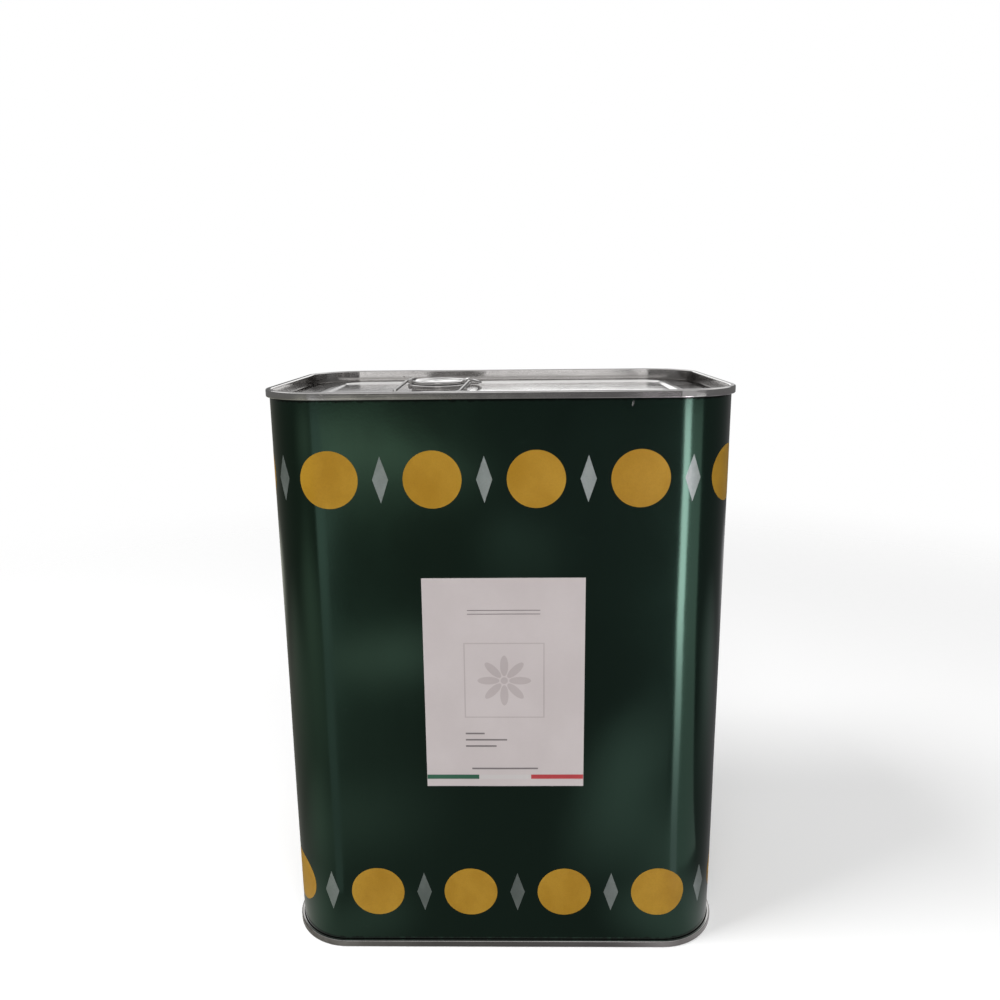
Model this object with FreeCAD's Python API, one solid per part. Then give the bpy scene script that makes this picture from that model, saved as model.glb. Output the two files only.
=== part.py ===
"""Five litre olive oil tin with a pull-up pouring spout.

A welded tinplate sleeve is closed by a top end and a bottom end, each rolled onto it in a double seam.
The spout sits in the top end, left of the middle. Its tube slides up out of a bush, a metal-topped
screw cap closes it, and two wire bails on the cap lift flat for pulling and for turning it.

Millimetres. +X is the tin's right, -Y its front, +Z up. The origin is on the floor, under the middle.
"""

import FreeCAD
import Part
import math
import os

Vector = FreeCAD.Vector

# Sleeve
BODY_WIDTH = 190.0
BODY_DEPTH = 119.4
TIN_HEIGHT = 248.3
CORNER_RADIUS = 24.5
BODY_PLATE = 0.30
WELD_WIDTH = 0.9
WELD_PROUD = 0.12

# Double seams, by the centre lines of the folded plates
END_PLATE = 0.32
SEAM_HEIGHT = 3.1
SEAM_GAP = 0.20
SEAM_BEND = 0.70
HOOK_BEND = 0.48
HOOK_RELIEF = 0.40
COMPOUND_GAP = 0.35
COMPOUND_WIDTH = 0.90
COMPOUND_CLEARANCE = 0.03

# End panels
PANEL_DEPTH = 5.3
GROOVE_DEPTH = 6.4
GROOVE_WIDTH = 2.4
GROOVE_BEND = 0.45
BEAD_INSET = 9.0
BEAD_RAMP = 1.6
BEAD_WIDTH = 3.0
BEAD_HEIGHT = 0.6
BEAD_BEND = 1.0
BEAD_MARGIN = 2.0

# Paper label on the front
LABEL_WIDTH = 66.7
LABEL_HEIGHT = 93.3
LABEL_X = 1.1
LABEL_BOTTOM = 79.5
LABEL_PAPER = 0.12

# Spout neck drawn in the top end
SPOUT_X = -28.5
SPOUT_Y = 5.0
COLLAR_BORE_RADIUS = 12.4
COLLAR_HEIGHT = 1.3
COLLAR_BEND = 0.4
COLLAR_FOOT = 3.6
LIP_REACH = 1.6

# Bush, its gasket and the ring that crimps them to the neck
GASKET_WIDTH = 1.1
GASKET_THICKNESS = 0.4
FLANGE_THICKNESS = 0.7
BUSH_CLEARANCE = 0.2
BUSH_WALL = 1.0
BUSH_LENGTH = 18.0
GUIDE_LIP_BITE = 0.6
GUIDE_LIP_DEPTH = 2.1
STOP_LIP_BITE = 1.2
STOP_LIP_THICKNESS = 1.0
RING_PLATE = 0.3
RING_CLEARANCE = 0.15
RING_BEND = 0.3
RING_TOP_LEG = 1.5
RING_UNDER_LEG = 1.1
RING_UNDER_GAP = 0.05

# Sliding tube
TUBE_WALL = 1.45
TUBE_FLANGE_THICKNESS = 1.8
TUBE_FLANGE_CLEARANCE = 0.15
TUBE_SEAT_GAP = 0.1
SEAL_THICKNESS = 0.7
SEAL_CLEARANCE = 0.1

# Screw thread shared by the tube and the cap
THREAD_PITCH = 3.0
THREAD_TURNS = 1.25
THREAD_HEIGHT = 0.75
THREAD_ROOT_WIDTH = 1.8
THREAD_CREST_WIDTH = 1.0
THREAD_CLEARANCE = 0.3
THREAD_SINK = 0.3
THREAD_TOP_MARGIN = 1.9

# Cap
CAP_SEAT_TURN = -9.0
CAP_RADIUS = 12.6
CAP_PLATE = 0.3
CAP_BEND = 0.5
CAP_RIM_HEIGHT = 1.3
CAP_CLEARANCE = 0.25
RIM_WIDTH = 1.6
DISH_DEPTH = 0.6
DISH_RAMP = 1.2
DISH_BEND = 0.8
NUB_RADIUS = 2.4
NUB_TOP_RADIUS = 1.3
NUB_HEIGHT = 0.45
NUB_BEND = 0.7
WEB_THICKNESS = 0.6
WEB_CLEARANCE = 0.1
INSERT_WALL = 1.2
INSERT_CLEARANCE = 0.3
INSERT_LENGTH = 8.4
LINER_THICKNESS = 0.6
LINER_CLEARANCE = 0.05
LINER_EDGE_CLEARANCE = 0.2

# Ears on the cap and the wire bails that turn in them
EAR_THICKNESS = 1.0
EAR_HALF_WIDTH = 4.4
EAR_HEIGHT = 1.93
EAR_CORNER = 0.6
HINGE_HEIGHT = 0.93
HINGE_SPREAD = 2.6
HINGE_CLEARANCE = 0.05
BAIL_WIRE_RADIUS = 0.75
BAIL_HOOK_BEND = 0.9
BAIL_CORNER = 6.0
BAIL_EAR_GAP = 0.1
BAIL_PIN_END_GAP = 0.3
BAIL_REST_GAP = 0.1
BAIL_BEAD_GAP = 7.09

# Every cutting solid runs this far past the faces that it cuts
OVERRUN = 1.0

# Seam layers, as distances outwards from the sleeve's outer face to each centre line
CHUCK_WALL = -BODY_PLATE - SEAM_GAP - END_PLATE / 2
SLEEVE_WALL = -BODY_PLATE / 2
END_HOOK = SEAM_GAP + END_PLATE / 2
BODY_HOOK = 2 * SEAM_GAP + END_PLATE + BODY_PLATE / 2
SEAM_WALL = 3 * SEAM_GAP + 1.5 * END_PLATE + BODY_PLATE

# Edges of the groove and the bead, as distances outwards from the sleeve's outer face
GROOVE_EDGE = CHUCK_WALL - GROOVE_WIDTH
BEAD_START = GROOVE_EDGE - BEAD_INSET
BEAD_CREST = BEAD_START - BEAD_RAMP
BEAD_FALL = BEAD_CREST - BEAD_WIDTH
BEAD_END = BEAD_FALL - BEAD_RAMP
PLATE_EDGE = BEAD_END - BEAD_MARGIN

# Seam levels, as depths in from the seam's crown
CROWN = END_PLATE / 2
BODY_HOOK_CROWN = END_PLATE + COMPOUND_GAP + BODY_PLATE / 2
END_HOOK_TIP = BODY_HOOK_CROWN + BODY_PLATE / 2 + HOOK_RELIEF
SEAM_FOOT = SEAM_HEIGHT - END_PLATE / 2
BODY_HOOK_TIP = SEAM_HEIGHT - END_PLATE - HOOK_RELIEF

# Spout levels, as heights above the top panel's upper face
PANEL_TOP = TIN_HEIGHT - PANEL_DEPTH
LIP_TOP = COLLAR_HEIGHT + END_PLATE
GASKET_TOP = LIP_TOP + GASKET_THICKNESS
FLANGE_TOP = GASKET_TOP + FLANGE_THICKNESS
RING_TOP = FLANGE_TOP + RING_PLATE
CAP_UNDER = RING_TOP + CAP_CLEARANCE
CAP_TOP = CAP_UNDER + CAP_RIM_HEIGHT
WEB_TOP = CAP_TOP - DISH_DEPTH - CAP_PLATE
WEB_UNDER = WEB_TOP - WEB_THICKNESS
LINER_TOP = WEB_UNDER - LINER_CLEARANCE
LINER_UNDER = LINER_TOP - LINER_THICKNESS
TUBE_TOP = LINER_UNDER - LINER_CLEARANCE
INSERT_UNDER = WEB_UNDER - INSERT_LENGTH
GUIDE_LIP_UNDER = FLANGE_TOP - GUIDE_LIP_DEPTH
BUSH_UNDER = -BUSH_LENGTH
TUBE_UNDER = BUSH_UNDER + STOP_LIP_THICKNESS + TUBE_SEAT_GAP
TUBE_FLANGE_TOP = TUBE_UNDER + TUBE_FLANGE_THICKNESS
SEAL_TOP = TUBE_FLANGE_TOP + SEAL_THICKNESS
TUBE_THREAD_START = TUBE_TOP - THREAD_TOP_MARGIN - THREAD_TURNS * THREAD_PITCH
INSERT_THREAD_START = TUBE_THREAD_START - THREAD_PITCH / 2
HINGE_LEVEL = CAP_UNDER + HINGE_HEIGHT

# Spout radii
LIP_RADIUS = COLLAR_BORE_RADIUS + LIP_REACH
RING_WALL_RADIUS = LIP_RADIUS + RING_CLEARANCE + RING_PLATE / 2
BUSH_RADIUS = COLLAR_BORE_RADIUS - BUSH_CLEARANCE
BUSH_BORE_RADIUS = BUSH_RADIUS - BUSH_WALL
GUIDE_LIP_RADIUS = BUSH_BORE_RADIUS - GUIDE_LIP_BITE
STOP_LIP_RADIUS = BUSH_BORE_RADIUS - STOP_LIP_BITE
INSERT_RADIUS = GUIDE_LIP_RADIUS - INSERT_CLEARANCE
INSERT_ROOT_RADIUS = INSERT_RADIUS - INSERT_WALL
NECK_RADIUS = INSERT_ROOT_RADIUS - THREAD_HEIGHT - THREAD_CLEARANCE
TUBE_BORE_RADIUS = NECK_RADIUS - TUBE_WALL
TUBE_FLANGE_RADIUS = BUSH_BORE_RADIUS - TUBE_FLANGE_CLEARANCE
EAR_FACE = CAP_RADIUS + EAR_THICKNESS
BAIL_ARM = EAR_FACE + BAIL_HOOK_BEND + BAIL_EAR_GAP

# A bail reaches back from its hinge towards the panel's bead
BAIL_LENGTH = BODY_DEPTH / 2 + BEAD_END - SPOUT_Y - HINGE_SPREAD - BAIL_WIRE_RADIUS - BAIL_BEAD_GAP

# How far the tube pulls up, and how far a bail droops from level until it lies on the panel
SPOUT_TRAVEL = GUIDE_LIP_UNDER - SEAL_TOP - SEAL_CLEARANCE
BAIL_DROOP = math.degrees(math.asin((HINGE_LEVEL - BAIL_WIRE_RADIUS - BAIL_REST_GAP) / BAIL_LENGTH))

UP = Vector(0, 0, 1)
QUARTER_TURN = 90
FULL_TURN = 360


def strip_side(points, bends, offset):
    """One long edge of a bent strip: the centre line's polyline moved sideways, with its bends rounded."""
    edges = []
    directions = [(b - a).normalize() for a, b in zip(points, points[1:])]
    sideways = [Vector(-d.z, 0, d.x) for d in directions]
    cursor = points[0] + sideways[0] * offset
    for corner, bend, before, after, side_before, side_after in zip(
        points[1:], bends, directions, directions[1:], sideways, sideways[1:]
    ):
        turn = 1 if before.z * after.x - before.x * after.z < 0 else -1
        reach = bend * math.tan(before.getAngle(after) / 2)
        centre = corner - before * reach + side_before * (turn * bend)
        radius = bend - turn * offset
        start = corner - before * reach + side_before * offset
        end = corner + after * reach + side_after * offset
        middle = centre + (corner - centre).normalize() * radius
        edges.append(Part.LineSegment(cursor, start).toShape())
        edges.append(Part.Arc(start, middle, end).toShape())
        cursor = end
    last = points[-1] + sideways[-1] * offset
    edges.append(Part.LineSegment(cursor, last).toShape())
    return edges, points[0] + sideways[0] * offset, last


def strip_section(points, bends, thickness):
    """The section of a folded plate of even thickness, from its centre line's (out, up) points."""
    line = [Vector(out, 0, up) for out, up in points]
    left, left_start, left_end = strip_side(line, bends, thickness / 2)
    right, right_start, right_end = strip_side(line, bends, -thickness / 2)
    caps = [
        Part.LineSegment(left_start, right_start).toShape(),
        Part.LineSegment(left_end, right_end).toShape(),
    ]
    return Part.Face(Part.Wire(Part.__sortEdges__(left + right + caps)))


def polygon_section(points):
    """A flat section from its (out, up) corners."""
    line = [Vector(out, 0, up) for out, up in points]
    return Part.Face(Part.makePolygon(line + line[:1]))


def around_tin(section):
    """Carries a section round the rounded rectangle of the sleeve. Its x is the way out from the sleeve."""
    long_side = BODY_WIDTH - 2 * CORNER_RADIUS
    short_side = BODY_DEPTH - 2 * CORNER_RADIUS
    corners = [(1, 1, long_side), (-1, 1, short_side), (-1, -1, long_side), (1, -1, short_side)]
    pieces = []
    for number, (across, along, side) in enumerate(corners):
        centre = Vector(across * long_side / 2, along * short_side / 2, 0)
        face = section.copy()
        face.translate(Vector(CORNER_RADIUS, 0, 0))
        face.rotate(Vector(), UP, number * QUARTER_TURN)
        face.translate(centre)
        pieces.append(face.revolve(centre, UP, QUARTER_TURN))
        face.rotate(centre, UP, QUARTER_TURN)
        onwards = FreeCAD.Rotation(UP, number * QUARTER_TURN).multVec(Vector(-1, 0, 0))
        pieces.append(face.extrude(onwards * side))
    return pieces[0].fuse(pieces[1:]).removeSplitter()


def panel_plate(inset, under, thickness):
    """A flat plate with the tin's outline, drawn in by a distance."""
    plate = Part.makeBox(
        BODY_WIDTH - 2 * inset,
        BODY_DEPTH - 2 * inset,
        thickness,
        Vector(inset - BODY_WIDTH / 2, inset - BODY_DEPTH / 2, under),
    )
    upright = [edge for edge in plate.Edges if abs(edge.tangentAt(edge.FirstParameter).z) == 1]
    return plate.makeFillet(CORNER_RADIUS - inset, upright)


def around_spout(section):
    """Turns a section about the spout's axis. Its x is the radius, its z the height above the panel."""
    solid = section.revolve(Vector(), UP, FULL_TURN)
    solid.translate(Vector(SPOUT_X, SPOUT_Y, PANEL_TOP))
    return solid


def disc_at_spout(radius, under, top):
    """A round disc on the spout's axis between two heights above the panel."""
    return Part.makeCylinder(radius, top - under, Vector(SPOUT_X, SPOUT_Y, PANEL_TOP + under))


def turned_over(shape):
    """The same piece at the tin's other end."""
    copy = shape.copy()
    copy.rotate(Vector(0, 0, TIN_HEIGHT / 2), Vector(1, 0, 0), 2 * QUARTER_TURN)
    return copy


def make_body_wall():
    """The sleeve: one plate, welded up the back, its two edges turned out and back as hooks."""
    low, high = BODY_HOOK_CROWN, TIN_HEIGHT - BODY_HOOK_CROWN
    section = strip_section(
        [
            (BODY_HOOK, BODY_HOOK_TIP),
            (BODY_HOOK, low),
            (SLEEVE_WALL, low),
            (SLEEVE_WALL, high),
            (BODY_HOOK, high),
            (BODY_HOOK, TIN_HEIGHT - BODY_HOOK_TIP),
        ],
        [HOOK_BEND] * 4,
        BODY_PLATE,
    )
    weld_foot = SEAM_HEIGHT + HOOK_RELIEF
    weld = Part.makeBox(
        WELD_WIDTH,
        BODY_PLATE + WELD_PROUD,
        TIN_HEIGHT - 2 * weld_foot,
        Vector(-WELD_WIDTH / 2, BODY_DEPTH / 2 - BODY_PLATE, weld_foot),
    )
    return around_tin(section).fuse(weld).removeSplitter()


def make_blank_end():
    """An end as pressed and seamed, at the top of the tin: hook, seam wall, countersink, beaded panel."""
    panel = TIN_HEIGHT - PANEL_DEPTH - END_PLATE / 2
    groove = TIN_HEIGHT - GROOVE_DEPTH - END_PLATE / 2
    crown = TIN_HEIGHT - CROWN
    foot = TIN_HEIGHT - SEAM_FOOT
    section = strip_section(
        [
            (END_HOOK, TIN_HEIGHT - END_HOOK_TIP),
            (END_HOOK, foot),
            (SEAM_WALL, foot),
            (SEAM_WALL, crown),
            (CHUCK_WALL, crown),
            (CHUCK_WALL, groove),
            (GROOVE_EDGE, groove),
            (GROOVE_EDGE, panel),
            (BEAD_START, panel),
            (BEAD_CREST, panel + BEAD_HEIGHT),
            (BEAD_FALL, panel + BEAD_HEIGHT),
            (BEAD_END, panel),
            (PLATE_EDGE, panel),
        ],
        [HOOK_BEND] * 2 + [SEAM_BEND] * 2 + [GROOVE_BEND] * 3 + [BEAD_BEND] * 4,
        END_PLATE,
    )
    plate = panel_plate(-PLATE_EDGE, panel - END_PLATE / 2, END_PLATE)
    return around_tin(section).fuse(plate).removeSplitter()


def make_top_end():
    """The top end, with a neck drawn up for the spout and turned out into a lip."""
    plate_level = -END_PLATE / 2
    collar = COLLAR_BORE_RADIUS + END_PLATE / 2
    foot_radius = COLLAR_BORE_RADIUS + COLLAR_FOOT
    lip_level = COLLAR_HEIGHT + END_PLATE / 2
    neck = strip_section(
        [
            (foot_radius, plate_level),
            (collar, plate_level),
            (collar, lip_level),
            (LIP_RADIUS, lip_level),
        ],
        [COLLAR_BEND] * 2,
        END_PLATE,
    )
    hole = disc_at_spout(foot_radius, -END_PLATE - OVERRUN, OVERRUN)
    return make_blank_end().cut(hole).fuse(around_spout(neck)).removeSplitter()


def make_bottom_end():
    return turned_over(make_blank_end())


def make_top_compound():
    """The rubber lining that seals a seam, between the end's crown and the sleeve's hook."""
    top = TIN_HEIGHT - END_PLATE - COMPOUND_CLEARANCE
    under = TIN_HEIGHT - END_PLATE - COMPOUND_GAP + COMPOUND_CLEARANCE
    middle = (SLEEVE_WALL + BODY_HOOK) / 2
    inner, outer = middle - COMPOUND_WIDTH / 2, middle + COMPOUND_WIDTH / 2
    return around_tin(polygon_section([(inner, under), (outer, under), (outer, top), (inner, top)]))


def make_bottom_compound():
    return turned_over(make_top_compound())


def make_front_label():
    corner = Vector(LABEL_X - LABEL_WIDTH / 2, -BODY_DEPTH / 2 - LABEL_PAPER, LABEL_BOTTOM)
    return Part.makeBox(LABEL_WIDTH, LABEL_PAPER, LABEL_HEIGHT, corner)


def make_spout_gasket():
    outer = disc_at_spout(LIP_RADIUS, LIP_TOP, GASKET_TOP)
    return outer.cut(disc_at_spout(LIP_RADIUS - GASKET_WIDTH, LIP_TOP - OVERRUN, GASKET_TOP + OVERRUN))


def make_spout_bush():
    """The plastic bush in the neck. Its guide lip stops the tube above, its stop lip carries it below."""
    return around_spout(
        polygon_section(
            [
                (GUIDE_LIP_RADIUS, FLANGE_TOP),
                (LIP_RADIUS, FLANGE_TOP),
                (LIP_RADIUS, GASKET_TOP),
                (BUSH_RADIUS, GASKET_TOP),
                (BUSH_RADIUS, BUSH_UNDER),
                (STOP_LIP_RADIUS, BUSH_UNDER),
                (STOP_LIP_RADIUS, BUSH_UNDER + STOP_LIP_THICKNESS),
                (BUSH_BORE_RADIUS, BUSH_UNDER + STOP_LIP_THICKNESS),
                (BUSH_BORE_RADIUS, GUIDE_LIP_UNDER),
                (GUIDE_LIP_RADIUS, GUIDE_LIP_UNDER),
            ]
        )
    )


def make_crimp_ring():
    """The tinplate ring folded over the bush's flange and under the neck's lip."""
    top = FLANGE_TOP + RING_PLATE / 2
    under = COLLAR_HEIGHT - RING_UNDER_GAP - RING_PLATE / 2
    outer = RING_WALL_RADIUS + RING_PLATE / 2
    return around_spout(
        strip_section(
            [
                (outer - RING_TOP_LEG, top),
                (RING_WALL_RADIUS, top),
                (RING_WALL_RADIUS, under),
                (outer - RING_UNDER_LEG, under),
            ],
            [RING_BEND] * 2,
            RING_PLATE,
        )
    )


def thread_ridge(root_radius, outwards, start):
    """A helical ridge on a round wall: outwards is 1 on a neck, -1 inside a cap."""
    crest_radius = root_radius + outwards * THREAD_HEIGHT
    sunk_radius = root_radius - outwards * THREAD_SINK
    profile = Part.makePolygon(
        [
            Vector(sunk_radius, 0, -THREAD_ROOT_WIDTH / 2),
            Vector(crest_radius, 0, -THREAD_CREST_WIDTH / 2),
            Vector(crest_radius, 0, THREAD_CREST_WIDTH / 2),
            Vector(sunk_radius, 0, THREAD_ROOT_WIDTH / 2),
            Vector(sunk_radius, 0, -THREAD_ROOT_WIDTH / 2),
        ]
    )
    helix = Part.makeHelix(THREAD_PITCH, THREAD_PITCH * THREAD_TURNS, root_radius)
    ridge = Part.Wire(helix.Edges).makePipeShell([profile], True, True)
    ridge.translate(Vector(SPOUT_X, SPOUT_Y, PANEL_TOP + start))
    return ridge


def make_spout_tube():
    """The pouring tube: a flange that slides in the bush and a threaded neck."""
    tube = around_spout(
        polygon_section(
            [
                (TUBE_BORE_RADIUS, TUBE_UNDER),
                (TUBE_FLANGE_RADIUS, TUBE_UNDER),
                (TUBE_FLANGE_RADIUS, TUBE_FLANGE_TOP),
                (NECK_RADIUS, TUBE_FLANGE_TOP),
                (NECK_RADIUS, TUBE_TOP),
                (TUBE_BORE_RADIUS, TUBE_TOP),
            ]
        )
    )
    return tube.fuse(thread_ridge(NECK_RADIUS, 1, TUBE_THREAD_START))


def make_spout_seal():
    """The rubber ring on the tube's flange that closes the gap to the bush when the spout is up."""
    outer = disc_at_spout(TUBE_FLANGE_RADIUS, TUBE_FLANGE_TOP, SEAL_TOP)
    hole = disc_at_spout(NECK_RADIUS + SEAL_CLEARANCE, TUBE_FLANGE_TOP - OVERRUN, SEAL_TOP + OVERRUN)
    return outer.cut(hole)


def make_cap_liner():
    return disc_at_spout(INSERT_ROOT_RADIUS - LINER_EDGE_CLEARANCE, LINER_UNDER, LINER_TOP)


def make_cap_insert():
    """The plastic screw socket under the cap's metal top."""
    web_radius = CAP_RADIUS - CAP_PLATE - WEB_CLEARANCE
    socket = around_spout(
        polygon_section(
            [
                (0, WEB_UNDER),
                (INSERT_ROOT_RADIUS, WEB_UNDER),
                (INSERT_ROOT_RADIUS, INSERT_UNDER),
                (INSERT_RADIUS, INSERT_UNDER),
                (INSERT_RADIUS, WEB_UNDER),
                (web_radius, WEB_UNDER),
                (web_radius, WEB_TOP),
                (0, WEB_TOP),
            ]
        )
    )
    return socket.fuse(thread_ridge(INSERT_ROOT_RADIUS, -1, INSERT_THREAD_START))


def make_cap_shell():
    """The cap's pressed metal top: a dish with a nub in its middle, a raised edge and a turned-down rim."""
    plate = CAP_TOP - CAP_PLATE / 2
    dish = plate - DISH_DEPTH
    rim = CAP_RADIUS - CAP_PLATE / 2
    return around_spout(
        strip_section(
            [
                (0, dish + NUB_HEIGHT),
                (NUB_TOP_RADIUS, dish + NUB_HEIGHT),
                (NUB_RADIUS, dish),
                (rim - RIM_WIDTH - DISH_RAMP, dish),
                (rim - RIM_WIDTH, plate),
                (rim, plate),
                (rim, CAP_UNDER),
            ],
            [NUB_BEND] * 2 + [DISH_BEND] * 2 + [CAP_BEND],
            CAP_PLATE,
        )
    )


def make_square_ear():
    """A lug on the cap's rim, square to the tin, with a hole for each bail's bent end."""
    ear = Part.makeBox(
        EAR_FACE,
        2 * EAR_HALF_WIDTH,
        EAR_HEIGHT,
        Vector(SPOUT_X, SPOUT_Y - EAR_HALF_WIDTH, PANEL_TOP + CAP_UNDER),
    )
    top = PANEL_TOP + CAP_UNDER + EAR_HEIGHT
    top_ends = [
        edge
        for edge in ear.Edges
        if abs(edge.tangentAt(edge.FirstParameter).x) == 1 and edge.CenterOfMass.z > top - EAR_HEIGHT / 2
    ]
    ear = ear.makeFillet(EAR_CORNER, top_ends)
    ear = ear.cut(disc_at_spout(CAP_RADIUS, CAP_UNDER - OVERRUN, CAP_UNDER + EAR_HEIGHT + OVERRUN))
    for side in (-1, 1):
        start = Vector(SPOUT_X, SPOUT_Y + side * HINGE_SPREAD, PANEL_TOP + HINGE_LEVEL)
        hole = Part.makeCylinder(
            BAIL_WIRE_RADIUS + HINGE_CLEARANCE, EAR_FACE + OVERRUN, start, Vector(1, 0, 0)
        )
        ear = ear.cut(hole)
    return ear


def turned_about_spout(shape, degrees):
    """The same piece swung round the spout's axis."""
    copy = shape.copy()
    copy.rotate(Vector(SPOUT_X, SPOUT_Y, 0), UP, degrees)
    return copy


def make_right_ear():
    return turned_about_spout(make_square_ear(), CAP_SEAT_TURN)


def make_left_ear():
    return turned_about_spout(make_square_ear(), CAP_SEAT_TURN + 2 * QUARTER_TURN)


def rounded_path(points, bends):
    """A wire through the points, with every inner corner an arc."""
    edges = []
    cursor = points[0]
    for before, corner, after, bend in zip(points, points[1:], points[2:], bends):
        inwards = (corner - before).normalize()
        onwards = (after - corner).normalize()
        half = inwards.getAngle(onwards) / 2
        reach = bend * math.tan(half)
        start, end = corner - inwards * reach, corner + onwards * reach
        to_centre = (onwards - inwards).normalize()
        middle = corner + to_centre * (bend / math.cos(half) - bend)
        edges.append(Part.LineSegment(cursor, start).toShape())
        edges.append(Part.Arc(start, middle, end).toShape())
        cursor = end
    edges.append(Part.LineSegment(cursor, points[-1]).toShape())
    return Part.Wire(edges)


def make_square_bail():
    """A loop of wire whose two ends bend in through the ears. It lies down to the back, on the panel."""
    pin_end = CAP_RADIUS + BAIL_PIN_END_GAP
    corners = [
        Vector(-pin_end, 0, 0),
        Vector(-BAIL_ARM, 0, 0),
        Vector(-BAIL_ARM, BAIL_LENGTH, 0),
        Vector(BAIL_ARM, BAIL_LENGTH, 0),
        Vector(BAIL_ARM, 0, 0),
        Vector(pin_end, 0, 0),
    ]
    path = rounded_path(corners, [BAIL_HOOK_BEND, BAIL_CORNER, BAIL_CORNER, BAIL_HOOK_BEND])
    section = Part.Wire(Part.makeCircle(BAIL_WIRE_RADIUS, corners[0], Vector(-1, 0, 0)))
    bail = path.makePipeShell([section], True, False)
    bail.rotate(Vector(), Vector(1, 0, 0), -BAIL_DROOP)
    bail.translate(Vector(SPOUT_X, SPOUT_Y + HINGE_SPREAD, PANEL_TOP + HINGE_LEVEL))
    return bail


def make_rear_bail():
    return turned_about_spout(make_square_bail(), CAP_SEAT_TURN)


def make_front_bail():
    return turned_about_spout(make_square_bail(), CAP_SEAT_TURN + 2 * QUARTER_TURN)


PIECES = {
    "body_wall": make_body_wall,
    "top_end": make_top_end,
    "bottom_end": make_bottom_end,
    "top_seam_compound": make_top_compound,
    "bottom_seam_compound": make_bottom_compound,
    "front_label": make_front_label,
    "spout_gasket": make_spout_gasket,
    "spout_bush": make_spout_bush,
    "crimp_ring": make_crimp_ring,
    "spout_tube": make_spout_tube,
    "spout_seal": make_spout_seal,
    "cap_liner": make_cap_liner,
    "cap_insert": make_cap_insert,
    "cap_shell": make_cap_shell,
    "left_ear": make_left_ear,
    "right_ear": make_right_ear,
    "front_bail": make_front_bail,
    "rear_bail": make_rear_bail,
}


def main():
    os.makedirs("parts", exist_ok=True)
    for name, make in PIECES.items():
        shape = make()
        shape.exportStep(os.path.join("parts", name + ".step"))
        print(f"{name}: {len(shape.Solids)} solid, {shape.Volume:.1f} mm3, valid {shape.isValid()}")
    print(f"spout travel {SPOUT_TRAVEL:.3f} mm, bail droop {BAIL_DROOP:.3f} degrees")
    print(f"hinge height {PANEL_TOP + HINGE_LEVEL:.3f} mm, cap top {PANEL_TOP + CAP_TOP:.3f} mm")


main()
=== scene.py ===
# %% [markdown]
# # An olive oil tin with a pull-up spout
# This lesson dresses a tin that was drawn in CAD. The CAD model gives the frame: every piece made here sits
# where the CAD says, in metres, and moves with one of its bodies. Sheet metal is the theme, so most pieces
# are made the way a tin maker makes them: a flat sheet that is rolled round, or a bent strip carried round.

import bmesh
import bpy
import math
from mathutils import Matrix, Vector, noise


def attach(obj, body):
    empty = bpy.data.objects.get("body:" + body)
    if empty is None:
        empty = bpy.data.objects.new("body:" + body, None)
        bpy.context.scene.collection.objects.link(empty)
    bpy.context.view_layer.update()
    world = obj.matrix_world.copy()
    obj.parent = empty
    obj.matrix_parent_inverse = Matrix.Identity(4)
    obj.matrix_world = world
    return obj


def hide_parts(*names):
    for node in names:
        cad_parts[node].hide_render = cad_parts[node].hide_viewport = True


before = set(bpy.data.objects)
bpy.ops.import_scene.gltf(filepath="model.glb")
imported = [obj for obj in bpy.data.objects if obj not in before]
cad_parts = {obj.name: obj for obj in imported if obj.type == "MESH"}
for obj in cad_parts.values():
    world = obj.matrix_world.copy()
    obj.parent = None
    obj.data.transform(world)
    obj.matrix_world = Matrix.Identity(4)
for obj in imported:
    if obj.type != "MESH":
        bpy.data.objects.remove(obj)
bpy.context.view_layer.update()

# %% [markdown]
# ## The camera
# The camera stands where the photographer stood: a little above the rim, looking slightly down, so that the
# sides of the tin lean together towards the floor. Its place and angles were solved from the tin's edges in
# the photograph. A camera looks along its own -Z with +Y up, so its three axes go into a matrix as columns.

# %% Camera
MM = 0.001
CAMERA_PLACE = Vector((6.2255, -387.1755, 278.542)) * MM
YAW, PITCH, ROLL = (math.radians(angle) for angle in (-1.07, 12.64, 0.60))
SENSOR_WIDTH, LENS = 36, 30.453

scene = bpy.context.scene
ahead = Vector((math.sin(YAW) * math.cos(PITCH), math.cos(YAW) * math.cos(PITCH), -math.sin(PITCH)))
level_right = Vector((math.cos(YAW), -math.sin(YAW), 0))
level_down = ahead.cross(level_right)
right = level_right * math.cos(ROLL) + level_down * math.sin(ROLL)
down = level_down * math.cos(ROLL) - level_right * math.sin(ROLL)
camera = bpy.data.objects.new("camera", bpy.data.cameras.new("camera"))
scene.collection.objects.link(camera)
stand = Matrix((right, -down, -ahead)).transposed().to_4x4()
stand.translation = CAMERA_PLACE
camera.matrix_world = stand
camera.data.sensor_fit = "HORIZONTAL"
camera.data.sensor_width = SENSOR_WIDTH
camera.data.lens = LENS
camera.data.clip_start = 0.01
scene.camera = camera
print("camera at, mm:", [round(c / MM, 1) for c in camera.location])

# %% [markdown]
# ## The outline of the sleeve
# The tin is a rounded rectangle all the way up. A printed tin starts as a flat sheet, so it helps to have one
# function that takes a place on the flat sheet and gives the place on the rolled tin. Distances along the
# sheet start at the middle of the front, and the two ends of the sheet meet at the weld, in the middle of the
# back. Flat panels of thin plate are never quite flat: they are given a slight crown and some soft dents.

# %% Swell of the flat panels
WIDTH, DEPTH, HEIGHT, CORNER = 190.0 * MM, 119.4 * MM, 248.3 * MM, 24.5 * MM
half_front = WIDTH / 2 - CORNER
half_side = DEPTH / 2 - CORNER
quarter = CORNER * math.pi / 2
girth = 4 * (half_front + half_side + quarter)
CROWN, DENT = 0.30 * MM, 0.16 * MM
STIFF_EDGE, EDGE_FADE, WELD_FADE = 6 * MM, 30 * MM, 25 * MM


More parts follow.
